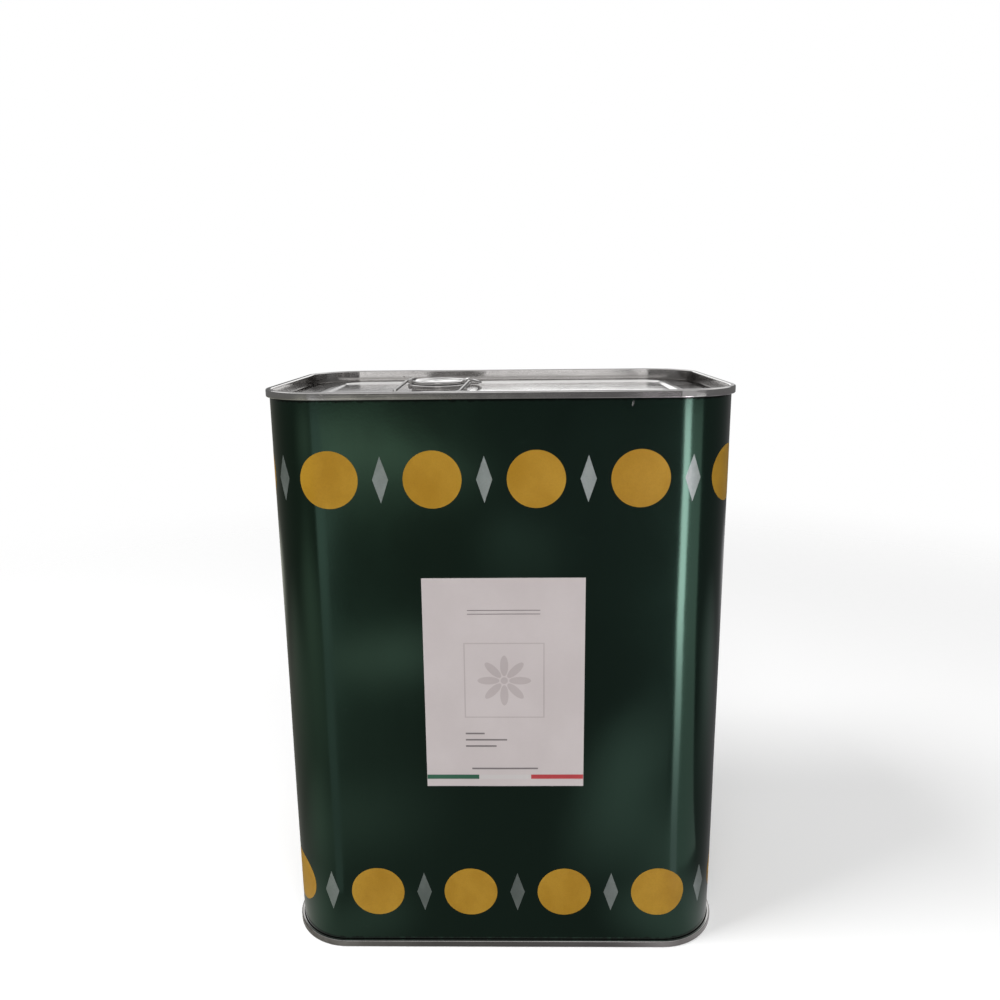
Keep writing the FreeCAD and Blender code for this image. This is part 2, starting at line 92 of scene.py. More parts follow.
def panel_swell(along, up):
    """How far the plate stands out from the true outline at a place on the sheet."""
    place = abs(along)
    if place > girth / 4:
        place = girth / 2 - place
    flat = 1 - min(1.0, place / half_front) ** 2
    from_edge = min(up, HEIGHT - up) - STIFF_EDGE
    fade = max(0.0, min(1.0, from_edge / EDGE_FADE))
    fade = fade * fade * (3 - 2 * fade)
    from_weld = min(1.0, (girth / 2 - abs(along)) / WELD_FADE)
    broad = noise.noise(Vector((along * 19, up * 15, 2.7)))
    fine = noise.noise(Vector((along * 43, up * 31, 8.1)))
    return fade * (CROWN * flat + DENT * (broad + 0.5 * fine) * from_weld)


print("girth of the sleeve, mm:", round(girth / MM, 2))

# %% Roll a flat sheet round the tin


def rolled(along, up, out):
    """The point of the tin for a place on the flat sheet, out from the sleeve's face."""
    out = out + panel_swell(along, up)
    rest = abs(along)
    at_back = rest > girth / 4
    if at_back:
        rest = girth / 2 - rest
    if rest <= half_front:
        across, deep = rest, DEPTH / 2 + out
    elif rest <= half_front + quarter:
        angle, reach = (rest - half_front) / CORNER, CORNER + out
        across, deep = half_front + reach * math.sin(angle), half_side + reach * math.cos(angle)
    else:
        across, deep = WIDTH / 2 + out, girth / 4 - rest
    return Vector((math.copysign(across, along), deep if at_back else -deep, up))


front = rolled(0, HEIGHT / 2, 0)
print("crown of the front, mm:", round((-front.y - DEPTH / 2) / MM, 2))

# %% [markdown]
# ## Helpers for finished pieces
# Each bmesh becomes one object at the origin, with its place in its mesh. It then rides on a CAD body, and
# where it stands for a CAD node it hides that node. Large faces beside small bends need care: a weighted
# normal modifier lets the large ones decide the shading.

# %% Turn a bmesh into a piece
SHARP = math.radians(50)


def piece_from(bm, name, body, finish, stands_for=None):
    """Makes the object, shades it smooth up to its sharp edges, and hands it to the frame."""
    mesh = bpy.data.meshes.new(name)
    for face in bm.faces:
        face.smooth = True
    for edge in bm.edges:
        edge.smooth = edge.calc_face_angle(0) < SHARP
    bm.to_mesh(mesh)
    bm.free()
    piece = bpy.data.objects.new(name, mesh)
    scene.collection.objects.link(piece)
    mesh.materials.append(finish)
    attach(piece, body)
    if stands_for:
        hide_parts(stands_for)
    box = [pick(vert.co[axis] for vert in mesh.vertices) for pick in (min, max) for axis in range(3)]
    print(name, "faces", len(mesh.polygons), "box, mm:", [round(c / MM, 1) for c in box])
    return piece


def even_shading(piece):
    """Lets the large flat faces decide the normals beside small bends."""
    weighted = piece.modifiers.new("even shading", "WEIGHTED_NORMAL")
    weighted.mode = "FACE_AREA"
    weighted.weight = 100


# %% [markdown]
# ## Helpers for finishes
# A finish is a small network of nodes. A few helpers add a node, set or link its inputs, and give back the
# output that the next step needs. Noise on stretched coordinates gives most of the marks of wear, and a smooth
# step cuts them out of it.

# %% Add nodes and join them


def start_finish(name):
    """A new material, with its node tree and its shader."""
    finish = bpy.data.materials.new(name)
    finish.use_nodes = True
    tree = finish.node_tree
    return finish, tree, tree.nodes["Principled BSDF"]


def join(tree, to_node, socket, value):
    """Sets an input to a value, or links it if the value is another node's output."""
    if isinstance(value, bpy.types.NodeSocket):
        tree.links.new(value, to_node.inputs[socket])
    else:
        to_node.inputs[socket].default_value = value


def set_inputs(tree, to_node, **inputs):
    """Sets or links inputs that are given by name, with underscores for spaces."""
    for key, value in inputs.items():
        join(tree, to_node, key.replace("_", " "), value)


def node(tree, kind, settings=None, **inputs):
    """Adds a node with its settings and inputs."""
    added = tree.nodes.new(kind)
    for key, value in (settings or {}).items():
        setattr(added, key, value)
    set_inputs(tree, added, **inputs)
    return added


def object_place(tree):
    """The place on the piece, in its own coordinates."""
    return node(tree, "ShaderNodeTexCoord").outputs["Object"]


# %% Numbers and colours in nodes


def sums(tree, operation, *values):
    """One Math node with its inputs in order."""
    added = node(tree, "ShaderNodeMath", {"operation": operation})
    for number, value in enumerate(values):
        join(tree, added, number, value)
    return added.outputs[0]


def plus(tree, base, extra, weight):
    """A value with another one added to it at a weight."""
    return sums(tree, "ADD", base, sums(tree, "MULTIPLY", extra, weight))


def blend_colour(tree, share, first, second):
    """Mixes two colours by a share."""
    added = node(tree, "ShaderNodeMix", {"data_type": "RGBA"})
    for socket, value in ((0, share), (6, first), (7, second)):
        join(tree, added, socket, value)
    return added.outputs[2]


def tinted(tree, colour, share, weight, other):
    """A colour with another one laid over it at a weight, where a share says so."""
    return blend_colour(tree, sums(tree, "MULTIPLY", share, weight), colour, other)


def darker(colour, level):
    """A colour at a part of its brightness."""
    return tuple(level * c for c in colour[:3]) + (1,)


# %% Noise, steps, ovals and bumps
BUMP_DEPTH = 0.02 * MM


def grain(tree, place, stretch, detail=3.0, rough=0.55):
    """Noise on stretched coordinates, centred on a half."""
    mapped = node(tree, "ShaderNodeMapping", Vector=place, Scale=stretch).outputs[0]
    noisy = node(tree, "ShaderNodeTexNoise", Vector=mapped, Scale=1.0, Detail=detail, Roughness=rough)
    return noisy.outputs["Fac"]


def ramp(tree, value, low, high, from_value=0.0, to_value=1.0):
    """A smooth step of a value from one level to another."""
    added = node(tree, "ShaderNodeMapRange", {"interpolation_type": "SMOOTHSTEP"}, Value=value)
    set_inputs(tree, added, From_Min=low, From_Max=high, To_Min=from_value, To_Max=to_value)
    return added.outputs["Result"]


def reach_of(tree, place):
    """The distance of a place from the origin."""
    return node(tree, "ShaderNodeVectorMath", {"operation": "LENGTH"}, Vector=place).outputs["Value"]


def reach_in_oval(tree, place, middle, size, degrees):
    """Zero in the middle of a turned oval, and one at its edge."""
    local = node(tree, "ShaderNodeMapping", {"vector_type": "TEXTURE"}, Vector=place, Scale=(*size, 1))
    set_inputs(tree, local, Location=(*middle, 0), Rotation=(0, 0, math.radians(degrees)))
    return reach_of(tree, local.outputs[0])


def relief(tree, shader, height, strength):
    """Bump from a height into the shader's normal."""
    bump = node(tree, "ShaderNodeBump", Strength=strength, Distance=BUMP_DEPTH, Height=height)
    join(tree, shader, "Normal", bump.outputs["Normal"])


# %% [markdown]
# ## Green lacquer
# The sleeve is tinplate under a see-through dark green lacquer, so it shines like metal but tints every
# reflection green. A metallic base colour does just that. Over it lie the marks of the real thing: faint
# upright rolling lines, a soft mottle in the lacquer, a few scuffs and small chips of bright metal near the
# seams. A dark line of painted shade lies in the crevice under the seams. Down the back runs the bare strip
# that was kept free for the weld. The sheet's own coordinates, kept as a UV map in metres, tell the material
# where those places are.

# %% Where the metal is bare
NICK_PLACE, NICK_SIZE, NICK_TURN = (52.0 * MM, 242.9 * MM), (0.38 * MM, 1.35 * MM), -16


def bare_metal(tree, sheet, along, edge):
    """One where the lacquer is missing: chips near the seams, a nick, and the strip kept for the weld."""
    chips = ramp(tree, grain(tree, sheet, (300, 220, 1), 6.0, 0.7), 0.755, 0.775)
    near_edge = ramp(tree, edge, 14 * MM, 4 * MM)
    weld_strip = ramp(tree, along, girth / 2 - 2.6 * MM, girth / 2 - 2.3 * MM)
    nick = ramp(tree, reach_in_oval(tree, sheet, NICK_PLACE, NICK_SIZE, NICK_TURN), 1.0, 0.7)
    bare = sums(tree, "MAXIMUM", sums(tree, "MULTIPLY", chips, near_edge), weld_strip)
    return sums(tree, "MAXIMUM", bare, nick)


# %% Green lacquer
SEAM_HEIGHT = 3.1 * MM


def make_green_lacquer():
    finish, tree, shader = start_finish("green_lacquer")
    place = object_place(tree)
    sheet = node(tree, "ShaderNodeUVMap", {"uv_map": "sheet"}).outputs["UV"]
    split = node(tree, "ShaderNodeSeparateXYZ", Vector=sheet)
    along = sums(tree, "ABSOLUTE", split.outputs["X"])
    up = split.outputs["Y"]
    edge = sums(tree, "MINIMUM", up, sums(tree, "SUBTRACT", HEIGHT, up))

    mottle = grain(tree, place, (26, 26, 14), 4.0)
    lines = grain(tree, sheet, (2400, 16, 1), 2.0)
    scuff = ramp(tree, grain(tree, sheet, (70, 900, 1), 5.0, 0.6), 0.66, 0.72)
    bare = bare_metal(tree, sheet, along, edge)
    # Painted shade: a dark ragged line on the lacquer just under each seam, where the seam overhangs it.
    ragged = plus(tree, edge, grain(tree, sheet, (420, 160, 1), 5.0), -2.4 * MM)
    seam_shade = ramp(tree, ragged, SEAM_HEIGHT + 0.1 * MM, SEAM_HEIGHT - 0.7 * MM)

    colour = blend_colour(tree, mottle, (0.0215, 0.0550, 0.0380, 1), (0.0275, 0.0680, 0.0460, 1))
    colour = tinted(tree, colour, lines, 0.35, (0.038, 0.080, 0.058, 1))
    colour = tinted(tree, colour, scuff, 0.22, (0.075, 0.105, 0.090, 1))
    colour = blend_colour(tree, bare, colour, (0.42, 0.42, 0.40, 1))
    # Lays the painted shade under the seams into the colour.
    colour = tinted(tree, colour, seam_shade, 0.85, (0.004, 0.006, 0.005, 1))
    haze = plus(tree, ramp(tree, mottle, 0.3, 0.7, 0.12, 0.17), scuff, 0.10)
    set_inputs(tree, shader, Base_Color=colour, Metallic=1.0, Roughness=haze)
    set_inputs(tree, shader, Coat_Weight=0.35, Coat_Roughness=0.12)

    peel = grain(tree, place, (900, 900, 900), 1.0)
    height = plus(tree, peel, grain(tree, place, (38, 38, 22), 2.0), 18.0)
    relief(tree, shader, plus(tree, height, bare, -1.5), 0.35)
    return finish


green_lacquer = make_green_lacquer()
print("finish:", green_lacquer.name)

# %% [markdown]
# ## The sleeve
# The sleeve is one plate. It could be a swept outline, but here it is made as in the factory: a flat grid the
# size of the sheet, with its sheet coordinates written down while it is flat, and then every vertex rolled
# round the outline. The two ends meet at the back, where merging them closes the sleeve. Its edges reach up
# into the seams, which hide them.

# %% Sleeve
SLEEVE_PLATE, HIDDEN_EDGE = 0.30 * MM, 1.3 * MM
SLEEVE_COLUMNS, SLEEVE_ROWS = 400, 56


def flat_sheet(bm, low_corner, high_corner, columns, rows):
    """A grid on the flat sheet, by its corners as (along, up)."""
    middle = [(a + b) / 2 for a, b in zip(low_corner, high_corner)]
    half = [(b - a) / 2 for a, b in zip(low_corner, high_corner)]
    spread = Matrix.Translation((*middle, 0)) @ Matrix.Diagonal((*half, 1, 1))
    bmesh.ops.create_grid(bm, x_segments=columns, y_segments=rows, size=1, matrix=spread)


def keep_sheet_places(bm):
    """Writes each corner's place on the flat sheet to a UV map."""
    layer = bm.loops.layers.uv.new("sheet")
    for face in bm.faces:
        for loop in face.loops:
            loop[layer].uv = loop.vert.co.xy


def roll_up(bm, out, lift=None):
    """Rolls everything flat round the tin, at a distance out from the sleeve's face."""
    for vert in bm.verts:
        along, up = vert.co.x, vert.co.y
        vert.co = rolled(along, up, out + (lift(along, up) if lift else 0))


def plate(bm, thickness, outwards=False):
    """Thickens a sheet, inwards or outwards. Solidify grows it away from the side that its faces look to."""
    bmesh.ops.recalc_face_normals(bm, faces=bm.faces)
    for face in bm.faces:
        middle = face.calc_center_median()
        looks_out = face.normal.dot(Vector((middle.x, middle.y, 0))) >= 0
        if looks_out == outwards:
            face.normal_flip()
    bmesh.ops.solidify(bm, geom=bm.faces[:], thickness=thickness)


def make_sleeve():
    bm = bmesh.new()
    low, high = (-girth / 2, HIDDEN_EDGE), (girth / 2, HEIGHT - HIDDEN_EDGE)
    flat_sheet(bm, low, high, SLEEVE_COLUMNS, SLEEVE_ROWS)
    keep_sheet_places(bm)
    roll_up(bm, 0)
    bmesh.ops.remove_doubles(bm, verts=bm.verts, dist=0.01 * MM)
    plate(bm, SLEEVE_PLATE)
    piece_from(bm, "lacquered_sleeve", "tin", green_lacquer, "body_wall")


make_sleeve()

# %% [markdown]
# ## Tinplate
# The ends, the crimp ring and the cap's top are bare tinplate: steel with a thin bright coat of tin. The sheet
# was rolled in one direction, so its fine lines all run the same way across each pressing. Handling leaves it
# a little cloudy, with darker specks where the tin is thin. The ends also get painted shade in their groove and
# on the seam that the tin stands on, so their finish reads an attribute that says where that shade lies.

# %% Tinplate
TIN_LIGHT, TIN_DARK = (0.76, 0.745, 0.735, 1), (0.65, 0.635, 0.625, 1)
WIRE_LIGHT, WIRE_DARK = (0.50, 0.49, 0.48, 1), (0.38, 0.37, 0.36, 1)


def make_tinplate(name, light, dark, haze, waves, shade_attribute=None):
    finish, tree, shader = start_finish(name)
    place = object_place(tree)
    cloud = grain(tree, place, (48, 60, 60), 5.0, 0.6)
    lines = grain(tree, place, (30, 3200, 3200), 3.0, 0.6)
    specks = ramp(tree, grain(tree, place, (520, 520, 520), 4.0, 0.6), 0.69, 0.74)
    colour = blend_colour(tree, ramp(tree, cloud, 0.25, 0.75), dark, light)
    colour = tinted(tree, colour, lines, 0.30, darker(dark, 0.72))
    colour = tinted(tree, colour, specks, 0.45, (0.16, 0.135, 0.11, 1))
    # Painted shade: a dark brown-grey laid patchily wherever the attribute says, in the groove and on the seam
    # the tin stands on.
    if shade_attribute:
        painted_shade = node(tree, "ShaderNodeAttribute", {"attribute_name": shade_attribute}).outputs["Fac"]
        cover = ramp(tree, cloud, 0.2, 0.6, 0.25, 0.55)
        colour = tinted(tree, colour, painted_shade, cover, (0.090, 0.082, 0.072, 1))
    rough = plus(tree, ramp(tree, cloud, 0.3, 0.75, haze, haze + 0.10), specks, 0.2)
    set_inputs(tree, shader, Base_Color=colour, Metallic=1.0, Roughness=rough)
    height = plus(tree, lines, grain(tree, place, (60, 60, 60), 2.0), waves)
    relief(tree, shader, plus(tree, height, specks, -0.8), 0.3)
    return finish


tinplate = make_tinplate("tinplate", TIN_LIGHT, TIN_DARK, 0.13, 14.0)
# The ends' finish reads its painted shade for the groove and the foot seam from this attribute.
end_plate = make_tinplate("end_tinplate", TIN_LIGHT, TIN_DARK, 0.09, 14.0, "groove_and_foot_shade")
bright_wire = make_tinplate("bright_wire", WIRE_LIGHT, WIRE_DARK, 0.10, 4.0)
print("finishes:", tinplate.name, end_plate.name, bright_wire.name)

# %% [markdown]
# ## The weld up the back
# The two ends of the plate overlap by less than a millimetre and are welded by rollers, which leaves a low
# flat bead. A narrow strip of its own, rolled a little further out than the sleeve, is enough to catch light.

# %% Weld bead
HALF_WELD, WELD_FOOT, WELD_PROUD, WELD_PLATE = 0.45 * MM, 3.5 * MM, 0.12 * MM, 0.2 * MM
WELD_COLUMNS, WELD_ROWS = 6, 160


def make_weld():
    bm = bmesh.new()
    low, high = (-HALF_WELD, WELD_FOOT), (HALF_WELD, HEIGHT - WELD_FOOT)
    flat_sheet(bm, low, high, WELD_COLUMNS, WELD_ROWS)
    for vert in bm.verts:
        across, up = vert.co.x, vert.co.y
        ripple = 0.8 + 0.2 * noise.noise(Vector((4.0, up * 700, 0.0)))
        rise = WELD_PROUD * ripple * (1 - (across / HALF_WELD) ** 4)
        vert.co = rolled(math.copysign(girth / 2 - abs(across), across), up, rise)
    plate(bm, WELD_PLATE, outwards=True)
    piece_from(bm, "side_weld", "tin", tinplate)


make_weld()

# %% [markdown]
# ## Printing inks
# The border on the sleeve is printed in two inks. Ink on lacquered plate has a slight mottle, a fine grain and
# a thin gloss. The yellow one covers like paint. The silver one holds metal flakes, so it is nearly metallic.

# %% Ink finishes


def make_ink(name, light, dark, metal, haze):
    """Printing ink on lacquered plate."""
    finish, tree, shader = start_finish(name)
    place = object_place(tree)
    mottle = grain(tree, place, (70, 70, 55), 5.0, 0.6)
    speckle = ramp(tree, grain(tree, place, (1500, 1500, 1500), 2.0), 0.35, 0.75)
    colour = blend_colour(tree, ramp(tree, mottle, 0.3, 0.7), dark, light)
    colour = tinted(tree, colour, speckle, 0.18, darker(dark, 0.6))
    rough = ramp(tree, mottle, 0.3, 0.7, haze, haze + 0.12)
    set_inputs(tree, shader, Base_Color=colour, Metallic=metal, Roughness=rough)
    set_inputs(tree, shader, Specular_IOR_Level=0.30, Coat_Weight=0.10, Coat_Roughness=0.15)
    relief(tree, shader, plus(tree, speckle, grain(tree, place, (38, 38, 22), 2.0), 18.0), 0.25)
    return finish


yellow_ink = make_ink("yellow_print", (0.440, 0.238, 0.012, 1), (0.370, 0.188, 0.005, 1), 0.0, 0.36)
silver_ink = make_ink("silver_print", (0.40, 0.45, 0.43, 1), (0.27, 0.32, 0.30, 1), 0.85, 0.38)
print("finishes:", yellow_ink.name, silver_ink.name)

# %% [markdown]
# ## The printed borders
# A border of plain yellow discs and slim silver lozenges runs round the tin near each end, a traditional bead
# and lozenge border. It could be painted by the sleeve's material, but separate skins of ink keep crisp edges
# at any distance. Each disc is a row of edges spun about its middle and each lozenge a small grid turned on
# its corner. They are laid out flat on the sheet, with the gap between a disc and a lozenge at the weld, and
# then rolled round with it.

# %% Discs and lozenges on the flat sheet
DISC_RINGS, DISC_STEPS, LOZENGE_CELLS = 8, 48, 6


def turn_about(bm, geom, centre, angle, steps, close=False):
    """Spins verts and edges about an upright axis and gives back the far end."""
    return bmesh.ops.spin(
        bm,
        geom=geom,
        cent=centre,
        axis=(0, 0, 1),
        dvec=(0, 0, 0),
        angle=angle,
        steps=steps,
        use_merge=close,
        use_duplicate=False,
    )["geom_last"]


def flat_disc(bm, along, up, radius):
    """A disc on the flat sheet: a row of edges spun about its first vertex."""
    outs = [radius * ring / DISC_RINGS for ring in range(DISC_RINGS + 1)]
    row = [bm.verts.new((along + out, up, 0)) for out in outs]
    edges = [bm.edges.new(pair) for pair in zip(row, row[1:])]
    turn_about(bm, row + edges, (along, up, 0), 2 * math.pi, DISC_STEPS, close=True)


def flat_lozenge(bm, along, up, wide, high):
    """A small grid on its corner, stretched to a lozenge on the flat sheet."""
    spread = Matrix.Translation((along, up, 0)) @ Matrix.Diagonal((wide / 2, high / 2, 1, 1))
    turned = spread @ Matrix.Rotation(math.pi / 4, 4, "Z") @ Matrix.Scale(math.sqrt(0.5), 4)
    bmesh.ops.create_grid(bm, x_segments=LOZENGE_CELLS, y_segments=LOZENGE_CELLS, size=1, matrix=turned)


def print_piece(bm, name, finish, out, skin, lift=None):
    """Rolls flat print round the tin and gives it a skin's thickness."""
    bmesh.ops.remove_doubles(bm, verts=bm.verts, dist=0.005 * MM)
    roll_up(bm, out, lift)
    plate(bm, skin)
    piece_from(bm, name, "tin", finish)


# %% Borders
INK_OFF, INK_SKIN = 0.03 * MM, 0.02 * MM
BEADS_ROUND = 14
bead_pitch = girth / BEADS_ROUND
BORDER_ROWS = ((213.5 * MM, 0.353), (27.5 * MM, 0.647))  # height, and share of a pitch from the weld
DISC_RADIUS = 11.7 * MM
LOZENGE_SIZE = (6.4 * MM, 19.0 * MM)


def make_borders():
    discs, lozenges = bmesh.new(), bmesh.new()
    for up, start in BORDER_ROWS:
        for number in range(BEADS_ROUND):
            along = (number + start) * bead_pitch - girth / 2
            flat_disc(discs, along, up, DISC_RADIUS)
            flat_lozenge(lozenges, along + bead_pitch / 2, up, *LOZENGE_SIZE)
    print_piece(discs, "yellow_border_discs", yellow_ink, INK_OFF, INK_SKIN)
    print_piece(lozenges, "silver_border_lozenges", silver_ink, INK_OFF, INK_SKIN)


make_borders()
print("border pitch, mm:", round(bead_pitch / MM, 2))

# %% [markdown]
# ## Paper and its inks
# The label is coated paper: soft fibres, a faint cloud and a low gloss. The inks on it are thin and take the
# same texture, so one recipe serves for the paper and all of its print, with other colours.

# %% Paper and its inks


def make_paper(name, light, dark, haze):
    """Coated paper, bare or printed."""
    finish, tree, shader = start_finish(name)
    place = object_place(tree)
    cloud = grain(tree, place, (35, 35, 28), 4.0)
    fibre = grain(tree, place, (500, 500, 1700), 4.0, 0.65)
    colour = blend_colour(tree, ramp(tree, cloud, 0.3, 0.7), dark, light)
    colour = tinted(tree, colour, fibre, 0.16, darker(dark, 0.75))
    rough = ramp(tree, fibre, 0.3, 0.7, haze, haze + 0.1)
    set_inputs(tree, shader, Base_Color=colour, Roughness=rough, Specular_IOR_Level=0.35)
    relief(tree, shader, plus(tree, fibre, cloud, 6.0), 0.25)
    return finish


PAPER_TONES = {
    "label_paper": ((0.585, 0.530, 0.527, 1), (0.545, 0.490, 0.487, 1), 0.48),
    "label_grey": ((0.235, 0.208, 0.208, 1), (0.180, 0.160, 0.160, 1), 0.50),
    "label_pale": ((0.480, 0.425, 0.423, 1), (0.440, 0.388, 0.386, 1), 0.50),
    "label_green": ((0.032, 0.135, 0.078, 1), (0.024, 0.105, 0.060, 1), 0.45),
    "label_white": ((0.590, 0.560, 0.552, 1), (0.550, 0.520, 0.512, 1), 0.45),
    "label_red": ((0.500, 0.050, 0.058, 1), (0.400, 0.034, 0.042, 1), 0.45),
}
paper = {name: make_paper(name, *tones) for name, tones in PAPER_TONES.items()}
print("label finishes:", sorted(paper))

# %% [markdown]
# ## The paper label
# The label is a slip of semi-gloss paper glued to the front. It is a grid laid on the flat sheet and rolled on
# like the ink, with its corners just lifting.

# %% Label
LABEL_MIDDLE, LABEL_FOOT = 1.1 * MM, 79.5 * MM
LABEL_WIDE, LABEL_HIGH = 66.7 * MM, 93.3 * MM
LABEL_COLUMNS, LABEL_ROWS = 44, 60
PAPER, GLUE, LIFT = 0.12 * MM, 0.01 * MM, 0.10 * MM


def corner_lift(along, up):
    """How far the paper stands off the plate: hardly at all, and a hair at its corners."""
    across = abs(along - LABEL_MIDDLE) / (LABEL_WIDE / 2)
    upwards = abs(up - LABEL_FOOT - LABEL_HIGH / 2) / (LABEL_HIGH / 2)
    return GLUE + LIFT * (across * upwards) ** 6


def make_label():
    bm = bmesh.new()
    low = LABEL_MIDDLE - LABEL_WIDE / 2, LABEL_FOOT
    high = LABEL_MIDDLE + LABEL_WIDE / 2, LABEL_FOOT + LABEL_HIGH
    flat_sheet(bm, low, high, LABEL_COLUMNS, LABEL_ROWS)
    roll_up(bm, PAPER, corner_lift)
    plate(bm, PAPER)
    piece_from(bm, "paper_label", "tin", paper["label_paper"], "front_label")


make_label()

# %% [markdown]
# ## Print on the label
# The print is plain: a fine frame round a rosette, thin rules for lines of small print, and a green, white and
# red stripe along the foot. All of it is flat shapes set out from the label's middle and foot. Bars are small
# grids, the frame is four thin bars, and the rosette is eight slim discs swung about one point. The frame could
# be one face that is inset and opened, but bars with many small faces follow the swell of the plate.

# %% Bars and petals
PRINT_OFF, PRINT_SKIN = 0.02 * MM, 0.01 * MM
PETAL_OUT, PETAL_SIZE = 6.6 * MM, (4.6 * MM, 1.7 * MM)
BAR_CELL = 1.5


def label_place(across, up):
    """A place on the sheet from the label's middle line and its foot, in millimetres."""
    return LABEL_MIDDLE + across * MM, LABEL_FOOT + up * MM


def bar(bm, across, up, wide, high):
    """A flat bar of print, by its middle and size in millimetres."""
    low = label_place(across - wide / 2, up - high / 2)
    high_corner = label_place(across + wide / 2, up + high / 2)
    columns, rows = (max(2, round(size / BAR_CELL)) for size in (wide, high))
    flat_sheet(bm, low, high_corner, columns, rows)


def petal(bm, up, turn):
    """One slim petal of the rosette, pointing away from its middle."""
    place = Matrix.Translation((*label_place(0, up), 0)) @ Matrix.Rotation(turn, 4, "Z")
    shape = place @ Matrix.Translation((PETAL_OUT, 0, 0)) @ Matrix.Diagonal((*PETAL_SIZE, 1, 1))
    bmesh.ops.create_circle(bm, cap_ends=True, segments=20, radius=1, matrix=shape)


def label_print(bm, name, finish):
    """Lays flat print on the label."""
    print_piece(bm, name, finish, PAPER + PRINT_OFF, PRINT_SKIN, corner_lift)


# %% Rules, rosette and stripe
RULES = (  # across, up, wide and high, in millimetres
    (0, 79.5, 30.0, 0.35),
    (0, 77.9, 30.0, 0.35),
    (-12.5, 24.6, 8.0, 0.75),
    (-7.75, 21.7, 17.5, 0.75),
    (-10.0, 18.8, 13.0, 0.75),
    (0, 8.3, 28.0, 0.75),
)
ROSETTE_UP, PETALS, HUB = 48.6, 8, 1.5 * MM
FRAME_SIZE, FRAME_LINE, HAIRLINE = 33.0, 0.5, 0.04
STRIPE_UP, STRIPE_HIGH, STRIPE_SHORT = 4.4, 2.0, 0.2


def make_rosette():
    bm = bmesh.new()
    for side in (-1, 1):
        bar(bm, side * FRAME_SIZE / 2, ROSETTE_UP, FRAME_LINE, FRAME_SIZE + FRAME_LINE)
        bar(bm, 0, ROSETTE_UP + side * FRAME_SIZE / 2, FRAME_SIZE - FRAME_LINE - HAIRLINE, FRAME_LINE)
    for number in range(PETALS):
        petal(bm, ROSETTE_UP, number * 2 * math.pi / PETALS)
    middle = Matrix.Translation((*label_place(0, ROSETTE_UP), 0))
    bmesh.ops.create_circle(bm, cap_ends=True, segments=24, radius=HUB, matrix=middle)
    label_print(bm, "label_framed_rosette", paper["label_pale"])


def make_label_print():
    rules = bmesh.new()
    for rule in RULES:
        bar(rules, *rule)
    label_print(rules, "label_rules", paper["label_grey"])
    make_rosette()
    third = (LABEL_WIDE / MM - STRIPE_SHORT) / 3
    for number, colour in enumerate(("green", "white", "red")):
        stripe = bmesh.new()
        bar(stripe, (number - 1) * third, STRIPE_UP, third, STRIPE_HIGH)
        label_print(stripe, "label_stripe_" + colour, paper["label_" + colour])


make_label_print()

# %% [markdown]
# ## Bent strips of plate
# Each end is one pressing: a panel with a raised bead, a deep groove round it, and a wall that rises, rolls
# over the sleeve's edge and locks under it in a double seam. In section it is a bent strip. The strip starts
# as a chain of edges with every bend rounded by a vertex bevel. It is spun round each corner and drawn along
# each side, and comes back to where it began. Solidify then gives the plate its thickness.

# %% Chains and straight runs
CORNER_STEPS, FRONT_STEPS, SIDE_STEPS = 20, 28, 14


def bent_chain(bm, corners, bends, segments=6):
    """A chain of edges through corners, each inner corner rounded by the distance given for it."""
    verts = [bm.verts.new(corner) for corner in corners]
    for pair in zip(verts, verts[1:]):
        bm.edges.new(pair)
    for vert, bend in zip(verts[1:-1], bends):
        bmesh.ops.bevel(
            bm,
            geom=[vert],
            offset=bend,
            offset_type="OFFSET",
            segments=segments,
            profile=0.5,
            affect="VERTICES",
            material=-1,
        )


def draw_along(bm, geom, way, steps):
    """Extrudes edges along a straight way in steps and gives back the far end."""
    edges = [part for part in geom if isinstance(part, bmesh.types.BMEdge)]
    for _ in range(steps):
        grown = bmesh.ops.extrude_edge_only(bm, edges=edges)["geom"]
        verts = {part for part in grown if isinstance(part, bmesh.types.BMVert)}
        bmesh.ops.translate(bm, verts=list(verts), vec=way / steps)
        new_edges = [part for part in grown if isinstance(part, bmesh.types.BMEdge)]
        edges = [edge for edge in new_edges if all(vert in verts for vert in edge.verts)]
    return edges + list(verts)


def carry_round(bm):
    """Carries the chain in the bmesh round the tin's outline, back to its start."""
    signs = (1, 1), (-1, 1), (-1, -1), (1, -1)
    centres = [Vector((x * half_front, y * half_side, 0)) for x, y in signs]
    tip = bm.verts[:] + bm.edges[:]
    for number, centre in enumerate(centres):
        tip = turn_about(bm, tip, centre, math.pi / 2, CORNER_STEPS)
        way = centres[(number + 1) % 4] - centre
        tip = draw_along(bm, tip, way, SIDE_STEPS if number % 2 else FRONT_STEPS)
    bmesh.ops.remove_doubles(bm, verts=bm.verts, dist=0.01 * MM)


# %% [markdown]
# ## The section of an end
# The section runs from inside the seam, over its top, down the wall into the groove, up to the panel and over
# the bead. Each corner is a distance out from the sleeve's outline and a height. The neck for the spout is a
# second strip, spun about the spout's own axis.

# %% Section and neck
PANEL_TOP, GROOVE_TOP = HEIGHT - 5.3 * MM, HEIGHT - 6.4 * MM
SEAM_IN, SEAM_REACH, HOOK_TOP = 0.20 * MM, 1.54 * MM, HEIGHT - 1.5 * MM
CHUCK_FACE, GROOVE_INNER = -0.82 * MM, -2.90 * MM
BEAD_START, BEAD_CREST, BEAD_FALL, BEAD_END = -12.06 * MM, -13.66 * MM, -16.66 * MM, -18.26 * MM
BEAD_HEIGHT, PLATE_EDGE = 0.6 * MM, -20.26 * MM
END_BENDS = [0.25, 0.42, 0.58, 0.58, 0.30, 0.30, 0.55, 0.5, 0.5, 0.5, 0.5]
SPOUT, SPOUT_STEPS = Vector((-28.5 * MM, 5.0 * MM, 0)), 96
NECK, NECK_BENDS = [(16.0, 0), (12.72, 0), (12.72, 1.3), (14.0, 1.3)], [0.35, 0.3]


